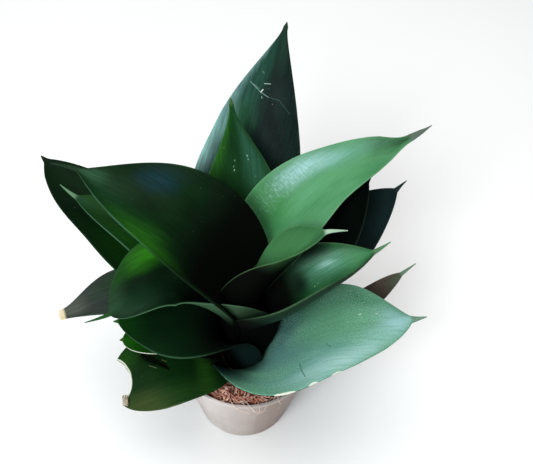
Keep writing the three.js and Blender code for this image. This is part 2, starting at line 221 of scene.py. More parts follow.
# %% The values of each leaf, in millimetres and degrees
# root, wrap: how far out and at which azimuth the foot stands, and half the angle that it clasps
# path: three points of the midrib, with heights above the soil
# width, widest: the full width, and the share of the length where it lies
# swell, taper: how the blade gets that wide, and how it closes again
# cup: half the angle of the arc across the blade, in its middle and at its end
# side: how far the blade sits to one side of its midrib
# face, turn: the azimuth that the blade has turned to, and the share of the length where it has
# spike, spike_to: its length, and the azimuth and the rise that it points to
# blunt: half the width of an end that has no spike
# nicks: a share of the length, a margin (left 1, right -1), how far it is drawn in, and the reach
# bites: x, y and radius of a round place that is torn off
SOIL_TOP, HEEL, SHEATH = 64, 8, 4
LEAVES = {
    "leaf_left_inner": dict(
        root=(6.5, 155), wrap=60, path=((-8, 11, 52), (-43, 24, 92), (-99, 42, 112)), width=76,
        widest=0.55, swell=1.9, taper=0.95, cup=(55, 25), face=155, spike=17, spike_to=(165, -5),
    ),
    "leaf_left_front": dict(
        root=(9.5, 215), wrap=70, path=((-16, 4, 35), (-47, 11, 55), (-79, -11, 48)), width=62,
        widest=0.58, swell=1.1, taper=0.6, cup=(58, 22), face=190, spike=16, spike_to=(190, -20),
        nicks=((0.3, 1, -13, 0.28),),
    ),
    "leaf_heart": dict(
        root=(3.5, -20), wrap=75, path=((6, 8, 48), (22, 20, 79), (42, 18, 100)), width=46,
        widest=0.55, taper=0.8, cup=(90, 40), side=-0.5, face=20, spike=12, spike_to=(10, -5),
    ),
    "leaf_right_inner": dict(
        root=(6.5, -70), wrap=58, path=((11, 2, 36), (39, 10, 64), (71, 19, 84)), width=64,
        widest=0.5, swell=1.2, taper=0.85, cup=(88, 40), side=-0.08, face=15, turn=0.6,
        spike=11, spike_to=(20, 35), nicks=((0.85, -1, -4, 0.25),),
    ),
    "leaf_right_upper": dict(
        root=(7.5, 45), wrap=33, path=((10, 33, 50), (38, 56, 92), (90, 77, 120)), width=55,
        widest=0.5, swell=1.8, taper=1.25, cup=(35, 25), side=0.13, face=42, spike=16, spike_to=(40, 5),
        nicks=((0.9, 1, -4.5, 0.2), (0.9, -1, -4.5, 0.2)),
    ),
    "leaf_back_inner": dict(
        root=(9.5, 95), wrap=32, path=((-6, 36, 45), (-10, 71, 86), (-17, 97, 120)), width=58,
        widest=0.52, swell=2, taper=1.35, cup=(30, 20), face=100, spike=4,
    ),
    "leaf_left_lower": dict(
        root=(12.5, 225), wrap=74, path=((-20, -3, 20), (-48, -2, 33), (-77, -6, 33)), width=64,
        widest=0.5, swell=1, taper=0.7, cup=(30, 10), side=0.12, face=190, spike=3,
    ),
    "leaf_front_right": dict(
        root=(15.5, -60), wrap=85, path=((20, -15, 20), (52, -7, 40), (98, -1, 48)), width=75,
        widest=0.36, swell=0.8, taper=0.9, cup=(15, -10), face=5, turn=0.35, spike=9,
        nicks=((0.8, 1, -7, 0.25), (0.5, -1, 4, 0.3), (0.92, -1, -3, 0.2)),
    ),
    "leaf_right_dark": dict(
        root=(12.5, 20), wrap=26, path=((21, 29, 34), (49, 46, 70), (67, 61, 98)), width=55,
        widest=0.53, swell=1.8, taper=0.7, cup=(30, 20), side=-0.12, face=38, spike=4,
    ),
    "leaf_left_narrow": dict(
        root=(15.5, 148), wrap=22, path=((-28, 24, 16), (-67, 43, 58), (-109, 54, 76)), width=40,
        widest=0.6, swell=1.8, taper=0.8, cup=(35, 20), face=155, spike=12, spike_to=(150, 20),
    ),
    "leaf_back_tall": dict(
        root=(12.5, 88), wrap=32, path=((-5, 53, 40), (-1, 100, 90), (13, 144, 145)), width=66,
        widest=0.52, swell=2.2, taper=1.1, cup=(30, 20), face=85, spike=3,
        nicks=((0.48, 1, -5, 0.2),),
    ),
    "leaf_low_bright": dict(
        root=(18.5, 205), wrap=28, path=((-28, -4, 10), (-50, -4, 16), (-76, -8, 15)), width=34,
        widest=0.55, taper=0.5, cup=(20, 0), side=-0.15, face=200, spike=2,
    ),
    "leaf_left_outer": dict(
        root=(18.5, 150), wrap=26, path=((-28, 25, 10), (-78, 51, 48), (-131, 76, 84)), width=56,
        widest=0.52, swell=1.8, taper=0.75, cup=(30, 20), side=0.1, face=148, spike=4,
        nicks=((0.9, 1, -6, 0.22),),
    ),
    "leaf_right_outer": dict(
        root=(18.5, 38), wrap=25, path=((28, 38, 18), (61, 62, 50), (88, 73, 80)), width=50,
        widest=0.5, swell=1.2, taper=0.7, cup=(30, 10), face=38, spike=9,
        nicks=((0.72, -1, -7, 0.35),),
    ),
    "leaf_cut_tip": dict(
        root=(21.5, 182), wrap=20, path=((-36, 4, 12), (-75, 19, 24), (-116, 2, 22)), width=42,
        widest=0.55, taper=1.1, cup=(30, 30), face=180, spike=0.6, blunt=4,
    ),
    "leaf_front_left": dict(
        root=(21.5, 226), wrap=18, path=((-27, -20, 10), (-49, -25, 13), (-76, -37, 8)), width=52,
        widest=0.55, taper=0.35, cup=(10, -10), face=212, spike=2, blunt=8,
        bites=((-86.7, -37.1, 20),),
    ),
    "leaf_right_small": dict(
        root=(21.5, 8), wrap=18, path=((31, 15, 11), (66, 27, 8), (99, 46, 29)), width=20,
        widest=0.6, taper=0.6, cup=(30, 20), face=25, spike=12,
    ),
}
print("leaves:", len(LEAVES))

# %% The midrib
THICK_FOOT, THICK_MIDDLE, THICK_TIP, MARGIN_SHARE = 2.0, 2.3, 1.5, 0.55
TIP_HALF_WIDTH, SWELL, SPIKE_END_HALF = 1.5, 1.3, 0.25
SPIKE_LEAN, SPIKE_SLIMMING, SPIKE_SHARES, BLUNT_END = 0.75, 0.6, 10, 0.3
STATION_EASE, FLATTEST, MOST_WORN = 1.25, 0.001, 0.8
PER_SPAN = 120


def heading(azimuth, rise=0.0):
    """Unit vectors for azimuths and rises in degrees."""
    a, b = np.radians(azimuth), np.radians(rise)
    return np.stack([np.cos(b) * np.cos(a), np.cos(b) * np.sin(a), np.sin(b) + 0 * a], -1)


def unit(arrows):
    """The same directions with length 1."""
    return arrows / np.linalg.norm(arrows, axis=-1, keepdims=True)


def spline(points):
    """Closely spaced points on a smooth curve through the given ones, none of which it overshoots."""
    points = [np.array(p, float) for p in points]
    spans = []
    w = np.arange(PER_SPAN)[:, None] / PER_SPAN
    for i in range(len(points) - 1):
        b, c = points[i], points[i + 1]
        a = points[i - 1] if i else 2 * b - c
        d = points[i + 2] if i + 2 < len(points) else 2 * c - b
        ab, bc, cd = (np.linalg.norm(q) ** 0.5 for q in (b - a, c - b, d - c))
        leave = ((b - a) / ab - (c - a) / (ab + bc) + (c - b) / bc) * bc
        reach = ((c - b) / bc - (d - b) / (bc + cd) + (d - c) / cd) * bc
        spans.append(
            (2 * w**3 - 3 * w**2 + 1) * b + (w**3 - 2 * w**2 + w) * leave
            + (3 * w**2 - 2 * w**3) * c + (w**3 - w**2) * reach
        )
    return np.vstack([*spans, points[-1][None]])


def along_curve(curve, shares):
    """Points, unit tangents and distances at shares of a curve's length."""
    gone = np.concatenate([[0], np.cumsum(np.linalg.norm(np.diff(curve, axis=0), axis=1))])
    slope = np.gradient(curve, gone, axis=0)
    at = shares * gone[-1]
    points = np.stack([np.interp(at, gone, curve[:, k]) for k in range(3)], -1)
    tangents = unit(np.stack([np.interp(at, gone, slope[:, k]) for k in range(3)], -1))
    return points, tangents, at


def smoothstep(x):
    """A smooth step from 0 at 0 to 1 at 1."""
    x = np.clip(x, 0, 1)
    return x * x * (3 - 2 * x)


print("midrib helpers are ready")

# %% The sections of a leaf
def half_width(leaf, t):
    """Half the blade's width from the clasping foot to the rounded end."""
    foot, most, widest = leaf["root"][0] * math.radians(leaf["wrap"]), leaf["width"] / 2, leaf["widest"]
    rising = np.sin(np.pi / 2 * np.clip(t / widest, 0, 1)) ** leaf.get("swell", SWELL)
    closing = np.cos(np.pi / 2 * np.clip((t - widest) / (1 - widest), 0, 1))
    half = np.where(t < widest, foot + (most - foot) * rising, most * np.abs(closing) ** leaf["taper"])
    return np.hypot(half, leaf.get("blunt", TIP_HALF_WIDTH))


def sections(leaf, stations, spike_stations):
    """Every section of a leaf: its share of the length, centre, directions and sizes."""
    foot = heading(leaf["root"][1]) * leaf["root"][0]
    path = [(x, y, SOIL_TOP + up) for x, y, up in leaf["path"]]
    curve = spline([(*foot[:2], SOIL_TOP - HEEL), (*foot[:2], SOIL_TOP + SHEATH), *path])
    t = 1 - (1 - np.arange(stations + 1) / stations) ** STATION_EASE
    centre, along, length = along_curve(curve, t)
    half = half_width(leaf, t)
    thick = np.interp(t, [0, 0.5, 1], [THICK_FOOT, THICK_MIDDLE, THICK_TIP])
    curl = np.ones_like(t)

    end = along[-1]
    aim = heading(*leaf["spike_to"]) if "spike_to" in leaf else end
    middle = centre[-1] + unit(end + SPIKE_LEAN * (aim - end)) * leaf["spike"] / 2
    tip = middle + aim * leaf["spike"] / 2
    share = np.arange(1, spike_stations + 1) / spike_stations
    before = centre[-1] - end * leaf["spike"] / 2
    spur = spline([before, centre[-1], middle, tip])[PER_SPAN:]
    spur_centre, spur_along, spur_length = along_curve(spur, share)
    blunt = leaf.get("blunt", TIP_HALF_WIDTH)
    spur_half = blunt + (BLUNT_END * blunt if "blunt" in leaf else SPIKE_END_HALF) * share - blunt * share
    return dict(
        t=np.concatenate([t, 1 + share / SPIKE_SHARES]),
        centre=np.vstack([centre, spur_centre]),
        along=np.vstack([along, spur_along]),
        length=np.concatenate([length, length[-1] + spur_length]),
        half=np.concatenate([half, spur_half]),
        thick=np.concatenate([thick, THICK_TIP * (1 - SPIKE_SLIMMING * share)]),
        curl=np.concatenate([curl, 1 - share]),
    )


def worn(leaf, t, half, side):
    """How far worn places draw the margin in, as a share of the half width."""
    share = np.zeros_like(t)
    for at, nick_side, depth, reach in leaf.get("nicks", ()):
        near = smoothstep(1 - np.abs(t - at) / reach)
        share += np.where(side == nick_side, depth * near / half, 0)
    return np.clip(share, -MOST_WORN, MOST_WORN)


print("sections are ready")

# %% From sections to a closed blade
def rim_steps(inside, turns=3):
    """Places across the blade: even ones inside, and a few round each margin."""
    middle = [(x, 0.0) for x in np.linspace(-1, 1, inside + 1)]
    rounding = [math.radians(90 * k / turns) for k in range(1, turns + 1)]
    return [(-1, a) for a in reversed(rounding)] + middle + [(1, a) for a in rounding]


def mesh_of(name, points, faces):
    """A mesh from points in millimetres."""
    mesh = bpy.data.meshes.new(name)
    mesh.from_pydata((np.array(points) * MM).tolist(), [], faces)
    return mesh


def arc(leaf, t, curl):
    """Half the angle of the arc across the blade: as the foot clasps, in the middle and at the end."""
    foot, middle, end = leaf["wrap"], *leaf["cup"]
    bend = foot * (1 - t) * (1 - 2 * t) + middle * 4 * t * (1 - t) + end * t * (2 * t - 1)
    bend = np.radians(bend) * curl
    return np.where(np.abs(bend) < FLATTEST, FLATTEST, bend)


def ring_faces(rows, around, columns):
    """Faces between rings of points and over both ends. Marks: 1 inner face, 0 outer face, 0.5 an end."""
    faces, marks = [], []
    for i in range(rows - 1):
        for k in range(around):
            n = (k + 1) % around
            faces.append((i * around + k, (i + 1) * around + k, (i + 1) * around + n, i * around + n))
            marks.append(1.0 if k < columns - 1 else 0.0)
    for i, order in ((0, 1), (rows - 1, -1)):
        for k in range(columns - 1):
            under, under_next = (around - k) % around, around - k - 1
            loop = dict.fromkeys((k, k + 1, under_next, under)[::order])
            faces.append(tuple(i * around + v for v in loop))
            marks.append(0.5)
    return faces, marks


def keep_places(mesh, faces, marks, across, rows):
    """Keeps where each corner lies on its leaf, as UV maps: in shares, in metres and on which face."""
    corner = np.array([v for f in faces for v in f])
    row, column = corner // across.shape[1], corner % across.shape[1]
    share = np.stack([across[row, column], rows["t"][row]], -1)
    size = np.stack([across[row, column] * rows["half"][row], rows["length"][row]], -1) * MM
    side = np.repeat(np.array(marks), [len(f) for f in faces])
    for label, values in (("share", share), ("size", size), ("side", np.stack([side, side], -1))):
        layer = mesh.uv_layers.new(name=label)
        layer.data.foreach_set("uv", values.astype(np.float32).ravel())


def blade_mesh(name, leaf, stations=64, spike_stations=8, inside=20, grown=0.0):
    """One leaf as a closed mesh. It is thicker and wider all round by the length grown."""
    rows = sections(leaf, stations, spike_stations)
    t, half, centre = rows["t"], rows["half"], rows["centre"].copy()
    if grown:
        centre[0, 2] -= grown
    inside_t = np.minimum(t, 1)
    turned = smoothstep(t / leaf.get("turn", 1))
    azimuth = leaf["root"][1] + (leaf["face"] - leaf["root"][1]) * turned
    left = heading(azimuth + 90)
    left = unit(left - rows["along"] * (left * rows["along"]).sum(-1, keepdims=True))
    inward = np.cross(rows["along"], left)
    cup = arc(leaf, inside_t, rows["curl"])
    shift = leaf.get("side", 0) * np.sin(np.pi * inside_t)
    wider = 1 + grown / half

    margin = np.minimum(MARGIN_SHARE * rows["thick"] / 2, MOST_WORN * half)
    flat = 1 - margin / half
    steps = rim_steps(inside)
    across = np.array([flat * x + (1 - flat) * np.sin(a) * np.sign(x) for x, a in steps]).T
    round_off = np.array([math.cos(a) for _, a in steps])
    kept = across * (1 - np.where(across > 0, 1, 0) * worn(leaf, t, half, 1)[:, None])
    kept = kept * (1 - np.where(across < 0, 1, 0) * worn(leaf, t, half, -1)[:, None])
    angle = (kept * wider[:, None] + shift[:, None]) * cup[:, None]
    thick = rows["thick"][:, None] * (1 - (1 - MARGIN_SHARE) * across**2) + 2 * grown
    thick = thick * round_off[None, :]
    radius = (half / cup)[:, None]

    def surface(face):
        """The upper face for 1 and the lower one for -1."""
        x = radius * np.sin(angle) - face * thick / 2 * np.sin(angle)
        z = radius * (1 - np.cos(angle)) + face * thick / 2 * np.cos(angle)
        return centre[:, None] + left[:, None] * x[..., None] + inward[:, None] * z[..., None]

    upper, lower = surface(1), surface(-1)
    ring = np.concatenate([upper, lower[:, -2:0:-1]], axis=1)
    ring_across = np.concatenate([across, across[:, -2:0:-1]], axis=1)
    faces, marks = ring_faces(*ring.shape[:2], len(steps))
    mesh = mesh_of(name, ring.reshape(-1, 3), faces)
    keep_places(mesh, faces, marks, ring_across, rows)
    return mesh


def volume(mesh):
    """The room a closed mesh takes up, in cubic millimetres, negative where it is inside out."""
    shape = bmesh.new()
    shape.from_mesh(mesh)
    room = shape.calc_volume(signed=True)
    shape.free()
    return room / MM**3


test = blade_mesh("test", LEAVES["leaf_heart"])
print("one leaf:", len(test.polygons), "faces,", round(volume(test)), "cubic millimetres")
bpy.data.meshes.remove(test)

# %% [markdown]
# ## Leaves that make room for each other
# In the tight heart of the rosette the leaves press against each other. Cloth or soft-body tools could
# push them apart, but here each later leaf simply gives way: it is trimmed by a slightly thicker copy
# of every earlier one, as its measured solid is. Only the largest part that is left is kept.

# %% Trim and keep the largest part
# The share that marks a torn face lies past the end of every blade, so the skin can tell it apart.
GAP = 0.3
BITE_HEIGHTS = (SOIL_TOP - 20, SOIL_TOP + 60)
CUT_SHARE = 2.0


def new_piece(name, mesh):
    """An object in the scene, at the origin."""
    piece = bpy.data.objects.new(name, mesh)
    bpy.context.scene.collection.objects.link(piece)
    return piece


def cut_away(piece, cutter, label):
    """Adds a Boolean modifier that takes the cutter's room from the piece."""
    cut = piece.modifiers.new(label, "BOOLEAN")
    cut.operation, cut.solver, cut.object = "DIFFERENCE", "MANIFOLD", cutter


def discard(cutters):
    """Deletes cutters and their meshes."""
    for cutter in cutters:
        mesh = cutter.data
        bpy.data.objects.remove(cutter)
        bpy.data.meshes.remove(mesh)


def evaluated_mesh(piece):
    """The piece's mesh with its modifiers applied, which are then taken off."""
    bpy.context.view_layer.update()
    graph = bpy.context.evaluated_depsgraph_get()
    mesh = bpy.data.meshes.new_from_object(
        piece.evaluated_get(graph), preserve_all_data_layers=True, depsgraph=graph
    )
    piece.modifiers.clear()
    return mesh


def swap_mesh(piece, mesh):
    """Gives a piece a new mesh and deletes its old one."""
    old = piece.data
    piece.data = mesh
    mesh.name = piece.name
    bpy.data.meshes.remove(old)


def keep_largest(mesh):
    """Deletes every separate part of a mesh except the one with the most points."""
    shape = bmesh.new()
    shape.from_mesh(mesh)
    left = set(shape.verts)
    parts = []
    while left:
        stack, part = [left.pop()], []
        while stack:
            vert = stack.pop()
            part.append(vert)
            for edge in vert.link_edges:
                other = edge.other_vert(vert)
                if other in left:
                    left.remove(other)
                    stack.append(other)
        parts.append(part)
    parts.sort(key=len, reverse=True)
    if len(parts) > 1:
        bmesh.ops.delete(shape, geom=[v for part in parts[1:] for v in part], context="VERTS")
        shape.to_mesh(mesh)
    shape.free()
    return len(parts)


def bite_mesh(x, y, radius, sides=72):
    """An upright, ragged round cutter, for an edge that was torn off."""
    turn = 2 * np.pi * np.arange(sides) / sides
    ragged = radius + 0.25 * np.sin(5 * turn + 1) + 0.15 * np.sin(17 * turn) + 0.1 * np.sin(31 * turn + 2)
    ring = np.stack([x + ragged * np.cos(turn), y + ragged * np.sin(turn)], -1)
    points = [(px, py, z) for z in BITE_HEIGHTS for px, py in ring]
    walls = [(k, (k + 1) % sides, (k + 1) % sides + sides, k + sides) for k in range(sides)]
    ends = [tuple(reversed(range(sides))), tuple(range(sides, 2 * sides))]
    mesh = mesh_of("bite", points, walls + ends)
    for label in ("share", "size", "side"):
        mesh.uv_layers.new(name=label)
    mesh.uv_layers["share"].data.foreach_set("uv", [0.0, CUT_SHARE] * len(mesh.loops))
    return mesh


leaves, rooms, bites = {}, [], []
for name, leaf in LEAVES.items():
    piece = new_piece(name + "_blade", blade_mesh(name + "_blade", leaf))
    for room in rooms:
        cut_away(piece, room, "make room")
    for x, y, radius in leaf.get("bites", ()):
        bites.append(new_piece("bite", bite_mesh(x, y, radius)))
        cut_away(piece, bites[-1], "torn edge")
    swap_mesh(piece, evaluated_mesh(piece))
    parts = keep_largest(piece.data)
    leaves[name] = piece
    rooms.append(new_piece("room", blade_mesh("room", leaf, 40, 4, 14, GAP)))
    print(name, "parts:", parts, "faces:", len(piece.data.polygons), "volume:", round(volume(piece.data)))
discard(rooms + bites)

# %% [markdown]
# ## The skin of a leaf
# A snake plant's leaf is thick and waxy. Fine streaks run along it, soft clouds of lighter and deeper
# green lie under them, and dust sits on top. A bluish-white sheen, and the bright green where light
# shines through, are painted highlights in soft patches; darker patches are painted shade. Each leaf
# shows its inner face, which looks up, and its paler outer face. Down in the heart hardly any light gets
# in, so painted shade darkens the skin there. A painted image could hold all that, but it has one size
# only. The leaf's own coordinates feed procedural noise instead, so the streaks follow every blade at
# their real scale.

# %% Shader groups that all the leaves share
def group(name, inputs, outputs):
    """An empty shader group with named sockets."""
    tree = bpy.data.node_groups.new(name, "ShaderNodeTree")
    for label, kind in inputs:
        tree.interface.new_socket(name=label, in_out="INPUT", socket_type=kind)
    for label, kind in outputs:
        tree.interface.new_socket(name=label, in_out="OUTPUT", socket_type=kind)
    return tree, put(tree, "NodeGroupInput").outputs, put(tree, "NodeGroupOutput").inputs


def place_group(tree, shared, inputs):
    """A group placed in a material, with its own values. Gives its outputs."""
    return put(tree, "ShaderNodeGroup", inputs, node_tree=shared).outputs


VECTOR, FLOAT = "NodeSocketVector", "NodeSocketFloat"

leaf_grain, given, wanted = group(
    "leaf grain",
    [("Size", VECTOR), ("Seed", VECTOR)],
    [(name, FLOAT) for name in ("Streaks", "Lines", "Clouds", "Powder", "Specks", "Crinkles")],
)
place = vectors(leaf_grain, "ADD", given["Size"], given["Seed"])
links = leaf_grain.links
links.new(noise(leaf_grain, stretched(leaf_grain, place, (1, 0.06, 1)), 800, 4, 0.65), wanted["Streaks"])
links.new(noise(leaf_grain, stretched(leaf_grain, place, (1, 0.02, 1)), 1500, 2), wanted["Lines"])
links.new(noise(leaf_grain, stretched(leaf_grain, place, (1, 0.45, 1)), 70, 3, 0.55), wanted["Clouds"])
links.new(noise(leaf_grain, place, 1350, 3, 0.8), wanted["Powder"])
dots = put(leaf_grain, "ShaderNodeTexVoronoi", {"Vector": place, "Scale": 330.0, "Randomness": 1.0})
near_dot = ramp(leaf_grain, dots.outputs["Distance"], 0.05, 0.13, 1, 0)
chosen = ramp(leaf_grain, noise(leaf_grain, place, 150, 1), 0.58, 0.66)
links.new(times(leaf_grain, near_dot, chosen), wanted["Specks"])
links.new(noise(leaf_grain, stretched(leaf_grain, place, (0.35, 1, 1)), 850, 3, 0.6), wanted["Crinkles"])

soft_patch, given, wanted = group(
    "soft patch",
    [("Share", VECTOR), ("Centre", VECTOR), ("Reach", VECTOR), ("Clouds", FLOAT), ("Ragged", FLOAT)],
    [("Mask", FLOAT)],
)
away = vectors(soft_patch, "SUBTRACT", given["Share"], given["Centre"])
distance = vectors(soft_patch, "LENGTH", vectors(soft_patch, "DIVIDE", away, given["Reach"]))
uneven = times(soft_patch, calc(soft_patch, "SUBTRACT", given["Clouds"], 0.5), given["Ragged"])
distance = plus(soft_patch, distance, uneven)
soft_patch.links.new(ramp(soft_patch, distance, 0.0, 1.2, 1, 0), wanted["Mask"])

fine_line, given, wanted = group(
    "fine line",
    [("Size", VECTOR), ("Start", VECTOR), ("End", VECTOR), ("Width", FLOAT), ("Grain", FLOAT)],
    [("Mask", FLOAT)],
)
way = vectors(fine_line, "SUBTRACT", given["End"], given["Start"])
gone = vectors(fine_line, "SUBTRACT", given["Size"], given["Start"])
along_way, whole = (vectors(fine_line, "DOT_PRODUCT", arrow, way) for arrow in (gone, way))
share_gone = calc(fine_line, "DIVIDE", along_way, whole, clamp=True)
nearest = put(fine_line, "ShaderNodeVectorMath", {0: way, "Scale": share_gone}, operation="SCALE").outputs[0]
off = vectors(fine_line, "LENGTH", vectors(fine_line, "SUBTRACT", gone, nearest))
off = calc(fine_line, "DIVIDE", off, given["Width"])
worn_off = times(fine_line, given["Grain"], 1.1)
fine_line.links.new(ramp(fine_line, plus(fine_line, off, worn_off), 0.7, 1.3, 1, 0), wanted["Mask"])
print("shared groups:", leaf_grain.name + ",", soft_patch.name, "and", fine_line.name)
